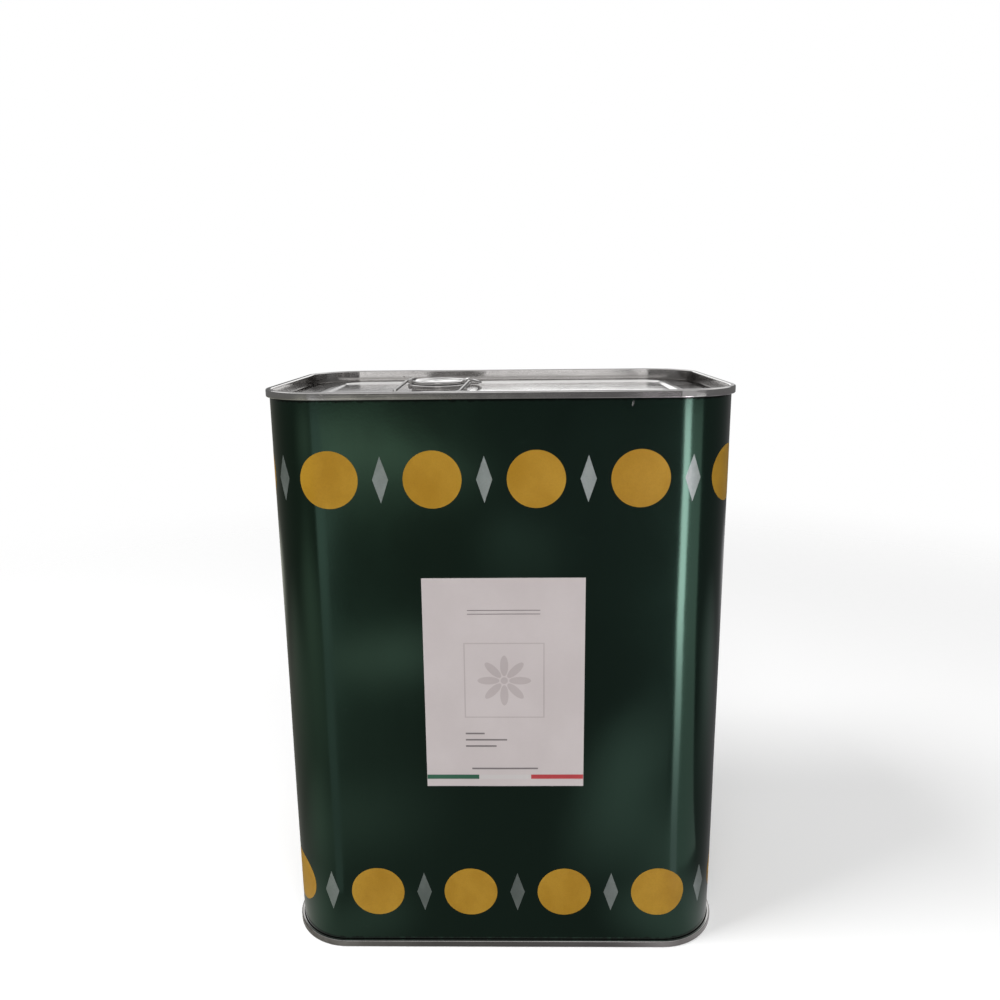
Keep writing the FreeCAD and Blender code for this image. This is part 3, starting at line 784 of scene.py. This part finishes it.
def end_strip(bm):
    """The end's outer face in section, from inside the seam to the panel, at the right back corner."""
    corners = [
        (SEAM_IN, HOOK_TOP),
        (SEAM_IN, HEIGHT - SEAM_HEIGHT),
        (SEAM_REACH, HEIGHT - SEAM_HEIGHT),
        (SEAM_REACH, HEIGHT),
        (CHUCK_FACE, HEIGHT),
        (CHUCK_FACE, GROOVE_TOP),
        (GROOVE_INNER, GROOVE_TOP),
        (GROOVE_INNER, PANEL_TOP),
        (BEAD_START, PANEL_TOP),
        (BEAD_CREST, PANEL_TOP + BEAD_HEIGHT),
        (BEAD_FALL, PANEL_TOP + BEAD_HEIGHT),
        (BEAD_END, PANEL_TOP),
        (PLATE_EDGE, PANEL_TOP),
    ]
    chain = [(WIDTH / 2 + out, half_side, up) for out, up in corners]
    bent_chain(bm, chain, [bend * MM for bend in END_BENDS])


def spin_at_spout(bm, corners, bends):
    """A chain of (radius, height over the panel) corners, spun into a ring about the spout's axis."""
    part = bmesh.new()
    chain = [SPOUT + Vector((radius * MM, 0, PANEL_TOP + height * MM)) for radius, height in corners]
    bent_chain(part, chain, [bend * MM for bend in bends], segments=5)
    turn_about(part, part.verts[:] + part.edges[:], SPOUT, 2 * math.pi, SPOUT_STEPS, close=True)
    bmesh.ops.remove_doubles(part, verts=part.verts, dist=0.002 * MM)
    mesh = bpy.data.meshes.new("spun")
    part.to_mesh(mesh)
    part.free()
    bm.from_mesh(mesh)
    bpy.data.meshes.remove(mesh)


print("panel at, mm:", round(PANEL_TOP / MM, 2), "groove at", round(GROOVE_TOP / MM, 2))

# %% [markdown]
# ## Where shade is painted
# The ends get painted shade in the groove, and on the seam that the tin stands on, most of all round its
# corners and towards the left. A vertex attribute keeps how much lies where, and the end's finish reads it.
# It could be painted by hand, but the distance from the outline tells the places apart.

# %% Dirt map


def from_outline(place):
    """How far a place lies outside the sleeve's outline, and inside it as a negative distance."""
    across, deep = abs(place.x) - half_front, abs(place.y) - half_side
    outer = Vector((max(across, 0), max(deep, 0))).length
    return outer + min(max(across, deep), 0) - CORNER


def shade_on_foot(place):
    """Painted shade on the seam that the tin stands on: more at the left, and more round the corners."""
    round_corner = min(abs(place.x) - half_front, abs(place.y) - half_side) / (8 * MM)
    more_at_left = 0.85 - 0.40 * place.x / (WIDTH / 2)
    return more_at_left + 0.6 * max(0.0, min(1.0, round_corner))


def mark_shade_map(bm, stood_on):
    """Writes how much painted shade lies where to an attribute."""
    layer = bm.verts.layers.float.new("groove_and_foot_shade")
    for vert in bm.verts:
        out = from_outline(vert.co)
        # Painted shade fills the groove, along the foot of its wall.
        by_groove = GROOVE_INNER - 0.3 * MM < out < CHUCK_FACE + 0.1 * MM
        vert[layer] = 1.0 if by_groove and vert.co.z < PANEL_TOP + 0.05 * MM else 0.0
        # Painted shade on the seam the tin stands on, darker at the left and round the corners.
        if stood_on and out > SEAM_REACH / 2:
            vert[layer] = shade_on_foot(vert.co)


# %% [markdown]
# ## The pressed ends
# The strip carried round leaves the middle open. The top also gets the neck, and one fill between the strip's
# inner edge and the neck's foot makes the panel. A rolled seam is never quite straight, so soft dimples
# press its wall in a little. The bottom is the same pressing without the neck, turned over.

# %% Ends
END_PLATE, DIMPLE = 0.32 * MM, 0.10 * MM


def rim_edges(bm, test):
    """Open edges whose middles pass a test."""
    open_edges = [edge for edge in bm.edges if edge.is_boundary]
    return [edge for edge in open_edges if test((edge.verts[0].co + edge.verts[1].co) / 2)]


def at_neck_foot(place):
    """Whether a place is on the outer edge of the neck's ring."""
    from_foot = (place - SPOUT).xy.length - NECK[0][0] * MM
    return abs(from_foot) < 0.2 * MM and place.z < PANEL_TOP + 0.1 * MM


def face_up(bm):
    """Points all faces outwards on an open pressing that is seen from above."""
    bmesh.ops.recalc_face_normals(bm, faces=bm.faces)
    if sum(face.normal.z * face.calc_area() for face in bm.faces) < 0:
        bmesh.ops.reverse_faces(bm, faces=bm.faces)


def press_dimples(bm):
    """Presses the seam in by a hair here and there."""
    for vert in bm.verts:
        if vert.co.z > HEIGHT - 4 * MM:
            depth = 0.5 + 0.5 * noise.noise(Vector((vert.co.x * 55, vert.co.y * 55, 1.0)))
            away = Vector((vert.co.x / WIDTH, vert.co.y / DEPTH, 0)).normalized()
            vert.co -= away * (DIMPLE * depth)


def make_end(name, node_name, with_neck):
    bm = bmesh.new()
    end_strip(bm)
    carry_round(bm)
    panel = rim_edges(bm, lambda middle: middle.z < HEIGHT - 5 * MM)
    if with_neck:
        spin_at_spout(bm, NECK, NECK_BENDS)
        panel += rim_edges(bm, at_neck_foot)
    bmesh.ops.triangle_fill(bm, edges=panel, use_beauty=True, use_dissolve=False)
    face_up(bm)
    press_dimples(bm)
    bmesh.ops.solidify(bm, geom=bm.faces[:], thickness=END_PLATE)
    mark_shade_map(bm, stood_on=not with_neck)
    if not with_neck:
        turned_over = Matrix.Rotation(math.pi, 3, "X")
        bmesh.ops.rotate(bm, verts=bm.verts, cent=(0, 0, HEIGHT / 2), matrix=turned_over)
    even_shading(piece_from(bm, name, "tin", end_plate, node_name))


make_end("pressed_top", "top_end", True)
make_end("pressed_bottom", "bottom_end", False)

# %% [markdown]
# ## The closure
# The spout sits low in the top panel under a metal cap. The crimp ring and the cap's top are turned parts, so
# each is a short bent chain spun once about the spout's axis. The chain of the cap's top starts on the axis,
# and merging closes the pole there. Its face is crowned a little, as pressed caps are, so that it mirrors both
# light and dark.

# %% Crimp ring and cap top
CLOSURE_PLATE = 0.3 * MM
CRIMP, CRIMP_BENDS = [(12.95, 3.02), (14.45, 3.02), (14.45, 0.95), (13.35, 0.95)], [0.45, 0.45]
CAP_FACE = [(0, 4.5), (1.3, 4.5), (2.3, 4.2), (6.2, 4.12)]
CAP_RIM = [(9.65, 3.93), (10.85, 4.57), (12.6, 4.57), (12.6, 3.27)]
CAP_BENDS = [0.35, 0.4, 2.4, 0.4, 0.4, 0.62]


def make_turned(name, body, node_name, corners, bends):
    bm = bmesh.new()
    spin_at_spout(bm, corners, bends)
    face_up(bm)
    bmesh.ops.solidify(bm, geom=bm.faces[:], thickness=CLOSURE_PLATE)
    even_shading(piece_from(bm, name, body, tinplate, node_name))


make_turned("crimped_ring", "tin", "crimp_ring", CRIMP, CRIMP_BENDS)
make_turned("cap_top", "cap", "cap_shell", CAP_FACE + CAP_RIM, CAP_BENDS)

# %% [markdown]
# ## The wire bails
# Each bail is a loop of round wire whose ends bend in through the ears on the cap. A ring of vertices walks
# along the wire's line: straight runs are extrusions, and bends are spins about the bend's centre. The loop is
# made flat, then tipped until it lies on the panel and swung round to its place on the cap.

# %% Bails
WIRE = 0.75 * MM
WIRE_START = -12.9 * MM
WIRE_WALK = (  # a straight run and its steps, then a bend's centre and its steps, in millimetres
    ((-0.8, 0), 2, (-13.7, 0.9), 8),
    ((0, 19.1), 8, (-8.6, 20.0), 14),
    ((17.2, 0), 8, (8.6, 20.0), 14),
    ((0, -19.1), 8, (13.7, 0.9), 8),
    ((-0.8, 0), 2, None, 0),
)
HINGE_OUT, HINGE_LEVEL = 2.6 * MM, 247.2 * MM
BAIL_DROOP, CAP_TURN = math.radians(7.403), math.radians(-9)


def flat_bail(bm):
    """The loop of wire, flat, with its hinge on the X axis."""
    end_on = Matrix.Translation((WIRE_START, 0, 0)) @ Matrix.Rotation(math.pi / 2, 4, "Y")
    bmesh.ops.create_circle(bm, cap_ends=False, segments=20, radius=WIRE, matrix=end_on)
    tip = bm.verts[:] + bm.edges[:]
    for way, steps, centre, bend_steps in WIRE_WALK:
        tip = draw_along(bm, tip, Vector((*way, 0)) * MM, steps)
        if centre:
            tip = turn_about(bm, tip, Vector((*centre, 0)) * MM, -math.pi / 2, bend_steps)
    bmesh.ops.remove_doubles(bm, verts=bm.verts, dist=0.001 * MM)
    bmesh.ops.edgeloop_fill(bm, edges=[edge for edge in bm.edges if edge.is_boundary])
    bmesh.ops.recalc_face_normals(bm, faces=bm.faces)


def make_bail(name, node_name, swing):
    bm = bmesh.new()
    flat_bail(bm)
    hinge = Matrix.Translation((0, HINGE_OUT, HINGE_LEVEL)) @ Matrix.Rotation(-BAIL_DROOP, 4, "X")
    place = Matrix.Translation(SPOUT) @ Matrix.Rotation(swing, 4, "Z") @ hinge
    bmesh.ops.transform(bm, matrix=place, verts=bm.verts)
    even_shading(piece_from(bm, name, node_name, bright_wire, node_name))


make_bail("rear_wire_loop", "rear_bail", CAP_TURN)
make_bail("front_wire_loop", "front_bail", CAP_TURN + math.pi)

# %% [markdown]
# ## Plastic and rubber inside the spout
# The tube, the bush, the cap's screw socket and the seals are plain mouldings, and their CAD meshes are right
# as they are. They only need finishes: moulded plastic has a fine even grain and soft flow marks, and rubber
# is duller with a bloom on it. White plastic also lets light in a little way.

# %% Plastic and rubber


def make_moulding(name, light, dark, haze, milky):
    """Moulded plastic or rubber."""
    finish, tree, shader = start_finish(name)
    place = object_place(tree)
    flow = grain(tree, place, (90, 90, 240), 4.0)
    fine = grain(tree, place, (2600, 2600, 2600), 2.0)
    colour = blend_colour(tree, ramp(tree, flow, 0.3, 0.7), dark, light)
    rough = ramp(tree, flow, 0.25, 0.75, haze, haze + 0.15)
    set_inputs(tree, shader, Base_Color=colour, Roughness=rough, Subsurface_Weight=milky)
    set_inputs(tree, shader, Subsurface_Radius=(1, 1, 1), Subsurface_Scale=0.8 * MM)
    relief(tree, shader, fine, 0.2)
    return finish


MOULDINGS = {
    "black_plastic": ((0.022, 0.022, 0.023, 1), (0.012, 0.012, 0.013, 1), 0.38, 0.0),
    "white_plastic": ((0.78, 0.775, 0.75, 1), (0.70, 0.695, 0.67, 1), 0.36, 0.2),
    "seal_rubber": ((0.055, 0.050, 0.047, 1), (0.032, 0.030, 0.029, 1), 0.62, 0.0),
}
staying_finish = {name: make_moulding(name, *tones) for name, tones in MOULDINGS.items()}
staying_finish["tinplate"] = tinplate
print("finishes:", sorted(staying_finish))

# %% Finishes for the CAD nodes that stay
STAYING = {
    "seal_rubber": ("top_seam_compound", "bottom_seam_compound", "spout_gasket", "spout_seal"),
    "black_plastic": ("spout_bush", "cap_insert"),
    "white_plastic": ("spout_tube", "cap_liner"),
    "tinplate": ("left_ear", "right_ear"),
}
for finish_name, node_names in STAYING.items():
    for node_name in node_names:
        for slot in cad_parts[node_name].material_slots:
            slot.material = staying_finish[finish_name]
print("CAD nodes kept:", sum(len(node_names) for node_names in STAYING.values()))

# %% [markdown]
# ## Floor and background
# The floor is a plain pale disc that fades into a white world, so no horizon shows. It gives off a little
# white of its own to the camera, and still takes the tin's shadow. The world is white to the camera and in
# reflections, and a quieter fill elsewhere.

# %% Floor
WHITE, PALE = (1, 1, 1, 1), (0.80, 0.80, 0.80, 1)


def seen_rays(tree):
    """One where the camera, a mirror or a glass looks, and zero elsewhere."""
    rays = node(tree, "ShaderNodeLightPath").outputs
    seen = sums(tree, "MAXIMUM", rays["Is Camera Ray"], rays["Is Glossy Ray"])
    return sums(tree, "MAXIMUM", seen, rays["Is Transmission Ray"])


def stage_piece(bm, name, finish):
    """A mesh of the studio, which isn't part of the tin."""
    mesh = bpy.data.meshes.new(name)
    bm.to_mesh(mesh)
    bm.free()
    piece = bpy.data.objects.new(name, mesh)
    scene.collection.objects.link(piece)
    mesh.materials.append(finish)
    return piece


def stage_disc(name, finish, radius, up, segments):
    """A flat round piece of the studio."""
    bm = bmesh.new()
    lifted = Matrix.Translation((0, 0, up))
    bmesh.ops.create_circle(bm, cap_ends=True, segments=segments, radius=radius, matrix=lifted)
    return stage_piece(bm, name, finish)


def make_floor():
    finish, tree, shader = start_finish("pale_floor")
    reach = reach_of(tree, object_place(tree))
    set_inputs(tree, shader, Base_Color=PALE, Roughness=0.8, Specular_IOR_Level=0.0)
    own_white = sums(tree, "MULTIPLY", seen_rays(tree), 0.25)
    set_inputs(tree, shader, Emission_Color=WHITE, Emission_Strength=own_white)
    set_inputs(tree, shader, Alpha=ramp(tree, reach, 0.40, 0.95, 1.0, 0.0))
    return stage_disc("floor", finish, 1.0, 0, 96)


floor = make_floor()
print("floor radius, m:", round(floor.dimensions.x / 2, 2))

# %% World
FILL = 0.32


def make_world():
    world = bpy.data.worlds.new("studio")
    scene.world = world
    world.use_nodes = True
    tree = world.node_tree
    fill = tree.nodes["Background"]
    set_inputs(tree, fill, Color=WHITE, Strength=FILL)
    shown = node(tree, "ShaderNodeBackground", Color=WHITE, Strength=1.0)
    mixed = node(tree, "ShaderNodeMixShader")
    for number, value in enumerate((seen_rays(tree), fill.outputs[0], shown.outputs[0])):
        join(tree, mixed, number, value)
    join(tree, tree.nodes["World Output"], "Surface", mixed.outputs[0])


make_world()
print("fill from the world:", FILL)

# %% [markdown]
# ## What the tin mirrors
# A glossy tin is as much its surroundings as its paint. In the photograph it mirrors a dim room with lighter
# places in it. A board just over the floor that only reflections see stands in for that room, with soft lighter
# and darker fields on it. Each field is an oval, given by its middle and size in metres, its turn and its level.
# The light is a little warm at the left and a little cool at the right.

# %% Reflection board
ROOM_LEVEL, ROOM_REACH, BOARD_LIFT = 0.15, 4.0, 0.02 * MM
BLACK, WARM, COOL = (0, 0, 0, 1), (1, 1, 0.87, 1), (1, 0.97, 1, 1)
FIELDS = (
    ((-0.105, -0.39), (0.10, 0.10), 0, 0.55),
    ((0.012, -0.74), (0.08, 0.28), 0, 0.20),
    ((0.078, -0.21), (0.035, 0.14), 21, 0.42),
    ((-0.42, -1.55), (0.45, 0.85), -13, 1.00),
    ((-1.20, -1.30), (0.80, 0.80), 0, 0.40),
    ((-0.09, -0.16), (0.07, 0.06), 0, 0.14),
    ((-0.42, -0.34), (0.55, 0.28), 38.7, 0.30),
    ((-0.16, -0.10), (0.09, 0.09), 0, 0.24),
    ((0.068, -0.080), (0.03, 0.03), 0, 0.25),
    ((0.105, -0.125), (0.07, 0.08), 0, 0.38),
    ((0.10, -0.055), (0.045, 0.045), 0, 0.40),
    ((-0.10, -0.055), (0.045, 0.045), 0, 0.32),
    ((-0.062, -0.078), (0.03, 0.03), 0, 0.18),
    ((0.42, -0.02), (0.26, 0.20), 0, 0.30),
    ((-0.42, -0.02), (0.26, 0.20), 0, 0.20),
    ((0.32, -0.16), (0.14, 0.12), 0, -0.08),
    ((0.38, 0.50), (0.30, 0.30), 0, 0.35),
    ((-0.42, 0.46), (0.30, 0.30), 0, 0.35),
    ((0.03, 0.75), (0.30, 0.60), 0, 0.50),
    ((0.10, -2.55), (1.30, 0.50), 0, -0.10),
    ((-0.70, -2.50), (0.65, 0.50), 0, -0.07),
)


def only_mirrored(piece):
    """Hides a stage piece from everything but reflections."""
    for sight in ("camera", "diffuse", "transmission", "volume_scatter", "shadow"):
        setattr(piece, "visible_" + sight, False)


def glow_finish(name, colour, level):
    """A finish that only gives off light. Its level may be set later."""
    finish, tree, shader = start_finish(name)
    set_inputs(tree, shader, Base_Color=BLACK, Specular_IOR_Level=0.0)
    set_inputs(tree, shader, Emission_Color=colour, Emission_Strength=level)
    return finish, tree, shader


def make_board():
    finish, tree, shader = glow_finish("dim_room", WHITE, ROOM_LEVEL)
    place = object_place(tree)
    flat = node(tree, "ShaderNodeVectorMath", {"operation": "MULTIPLY"}, Vector=place)
    join(tree, flat, 1, (1, 1, 0))
    level = ROOM_LEVEL
    for middle, size, degrees, strength in FIELDS:
        reach = reach_in_oval(tree, flat.outputs[0], middle, size, degrees)
        level = sums(tree, "ADD", level, ramp(tree, reach, 0.0, 1.0, strength, 0.0))
    across = node(tree, "ShaderNodeSeparateXYZ", Vector=place).outputs["X"]
    warmth = blend_colour(tree, ramp(tree, across, -0.3, 0.2), WARM, COOL)
    set_inputs(tree, shader, Emission_Color=warmth, Emission_Strength=level)
    only_mirrored(stage_disc("dim_room_board", finish, ROOM_REACH, BOARD_LIFT, 64))


make_board()
print("fields on the board:", len(FIELDS))

# %% [markdown]
# ## Lines down the corners
# A bright gap at the right of the room draws a line down the right front corner. Wedges on the board, which
# spread like rays from the tin, give such lines: one at the left front corner and two at the right. They are
# weaker near the tin, so that the lines die away towards its foot.

# %% Wedges
FADE_START = 0.02
GLEAM_TINT = (1.0, 0.88, 0.97, 1)


def wedge_finish(name, start, levels, full_at, tint):
    """A glow that is weaker at the wedge's start and full at a distance from it."""
    finish, tree, shader = glow_finish(name, tint, levels[1])
    away = node(tree, "ShaderNodeVectorMath", {"operation": "DISTANCE"}, Vector=object_place(tree))
    join(tree, away, 1, (*start, 0))
    glow = ramp(tree, away.outputs["Value"], FADE_START, full_at, *levels)
    set_inputs(tree, shader, Emission_Strength=glow)
    return finish


def make_wedge(name, lift, start, degrees, length, widths, levels, full_at, tint=WHITE):
    """A bright wedge on the board, from a point near a corner of the tin."""
    bm = bmesh.new()
    near, far = widths
    bmesh.ops.create_grid(bm, x_segments=1, y_segments=1, size=0.5)
    for vert in bm.verts:
        share = vert.co.y + 0.5
        vert.co = Vector((vert.co.x * (near + (far - near) * share), -length * share, lift * MM))
    turn = Matrix.Rotation(math.radians(degrees), 3, "Z")
    bmesh.ops.rotate(bm, verts=bm.verts, cent=(0, 0, 0), matrix=turn)
    bmesh.ops.translate(bm, verts=bm.verts, vec=Vector((*start, 0)))
    only_mirrored(stage_piece(bm, name, wedge_finish(name, start, levels, full_at, tint)))


WEDGES = (  # name, lift in mm, start, degrees, length, near and far width, near and far level, full at
    ("right_gleam", 0.05, (0.0935, -0.090), 24.8, 2.5, (0.012, 0.562), (0.90, 7.2), 0.48, GLEAM_TINT),
    ("right_glow", 0.04, (0.125, -0.090), 42, 2.2, (0.08, 0.975), (0.55, 0.90), 0.50),
    ("left_glow", 0.04, (-0.088, -0.092), -21, 2.2, (0.012, 0.60), (0.40, 0.70), 0.75),
)
for wedge in WEDGES:
    make_wedge(*wedge)
print("wedges:", [wedge[0] for wedge in WEDGES])

# %% [markdown]
# ## A flag for the rim
# The wedge that draws the line down the right corner would flare on the bare seam above it, which mirrors far
# more than the lacquer. A photographer hangs a small flag in the way. This one is a strip of the sheet, rolled
# a few millimetres out from the seam, and not much lighter than the room.

# %% Flag
FLAG_LEVEL, FLAG_OUT = 0.40, 4 * MM
FLAG_LOW = (half_front + 0.4 * MM, HEIGHT - 3.6 * MM)
FLAG_HIGH = (half_front + 6.4 * MM, HEIGHT + 1 * MM)


def white_card(bm, name, level):
    """A plain card that only reflections see."""
    only_mirrored(stage_piece(bm, name, glow_finish(name, WHITE, level)[0]))


flag = bmesh.new()
flat_sheet(flag, FLAG_LOW, FLAG_HIGH, 12, 1)
roll_up(flag, FLAG_OUT)
white_card(flag, "rim_flag", FLAG_LEVEL)
print("flag, mm:", [round((high - low) / MM, 1) for low, high in zip(FLAG_LOW, FLAG_HIGH)])

# %% [markdown]
# ## Cards round the top
# Bare metal has no look of its own: it is light and dark only where its surroundings are. A photographer
# stands dark cards beside bright metal to give it edges. Here two dark cards stand round the tin, with a bright
# one behind it that the panel mirrors, and a grey one at either side of that, so that the panel darkens in
# steps towards its ends. Another bright one stands behind the camera, like a window, and the far wall of the
# seam mirrors it. A grey card hangs overhead. Each upright card is one edge spun part of the way round the tin.

# %% Cards
CARD_REACH, CARD_STEPS = 2.6, 48
CARDS = (  # name, two bearings, low and high edge, level
    ("left_card", -166, -15, 0.0, 1.3, 0.16),
    ("left_back_card", -15, -7, 0.0, 1.3, 0.55),
    ("back_card", -7, 11.5, 0.0, 1.3, 1.35),
    ("right_back_card", 11.5, 19.5, 0.0, 1.3, 0.55),
    ("right_card", 19.5, 170, 0.0, 1.3, 0.16),
    ("low_card", 170, 194, 0.0, 0.42, 0.12),
    ("window_card", 170, 194, 0.42, 0.95, 1.4),
    ("high_card", 170, 194, 0.95, 1.3, 0.4),
)
OVERHEAD_RADIUS, OVERHEAD_AT, OVERHEAD_LEVEL = 1.9, 2.3, 0.35


def upright_card(name, from_degrees, to_degrees, low, high, level):
    """A curved card round the tin, between two bearings that count from straight behind to the right."""
    bm = bmesh.new()
    bearing = math.radians(from_degrees)
    away = Vector((math.sin(bearing), math.cos(bearing), 0)) * CARD_REACH
    foot = bm.verts.new(away + Vector((0, 0, low)))
    head = bm.verts.new(away + Vector((0, 0, high)))
    edge = bm.edges.new((foot, head))
    turn = math.radians(from_degrees - to_degrees)
    turn_about(bm, [foot, head, edge], (0, 0, 0), turn, CARD_STEPS)
    white_card(bm, name, level)


for card in CARDS:
    upright_card(*card)
overhead = glow_finish("overhead_card", WHITE, OVERHEAD_LEVEL)[0]
only_mirrored(stage_disc("overhead_card", overhead, OVERHEAD_RADIUS, OVERHEAD_AT, 48))

# %% [markdown]
# ## Lamps
# One lamp at the left, a little to the front, throws the long soft shadow to the right. A broad soft lamp over
# the camera lights the front evenly, at a level at which colours come out about as they are written. Both are
# hidden from mirrors, because the board and the cards already say what the metal shows.

# %% Lamps


def soft_lamp(name, place, aim, wide, high, watts):
    """A rectangular soft light, turned to face a point."""
    lamp = bpy.data.lights.new(name, "AREA")
    lamp.shape = "RECTANGLE"
    lamp.size, lamp.size_y = wide, high
    lamp.energy = watts
    holder = bpy.data.objects.new(name, lamp)
    scene.collection.objects.link(holder)
    holder.location = place
    holder.rotation_euler = (Vector(aim) - Vector(place)).to_track_quat("-Z", "Y").to_euler()
    holder.visible_glossy = False


soft_lamp("left_lamp", (-1.05, -0.34, 1.67), (0.05, 0, 0.1), 0.65, 0.65, 22)
soft_lamp("front_lamp", (0.15, -1.10, 1.30), (0, 0, 0.08), 1.2, 0.9, 13)
scene.view_settings.view_transform = "Standard"
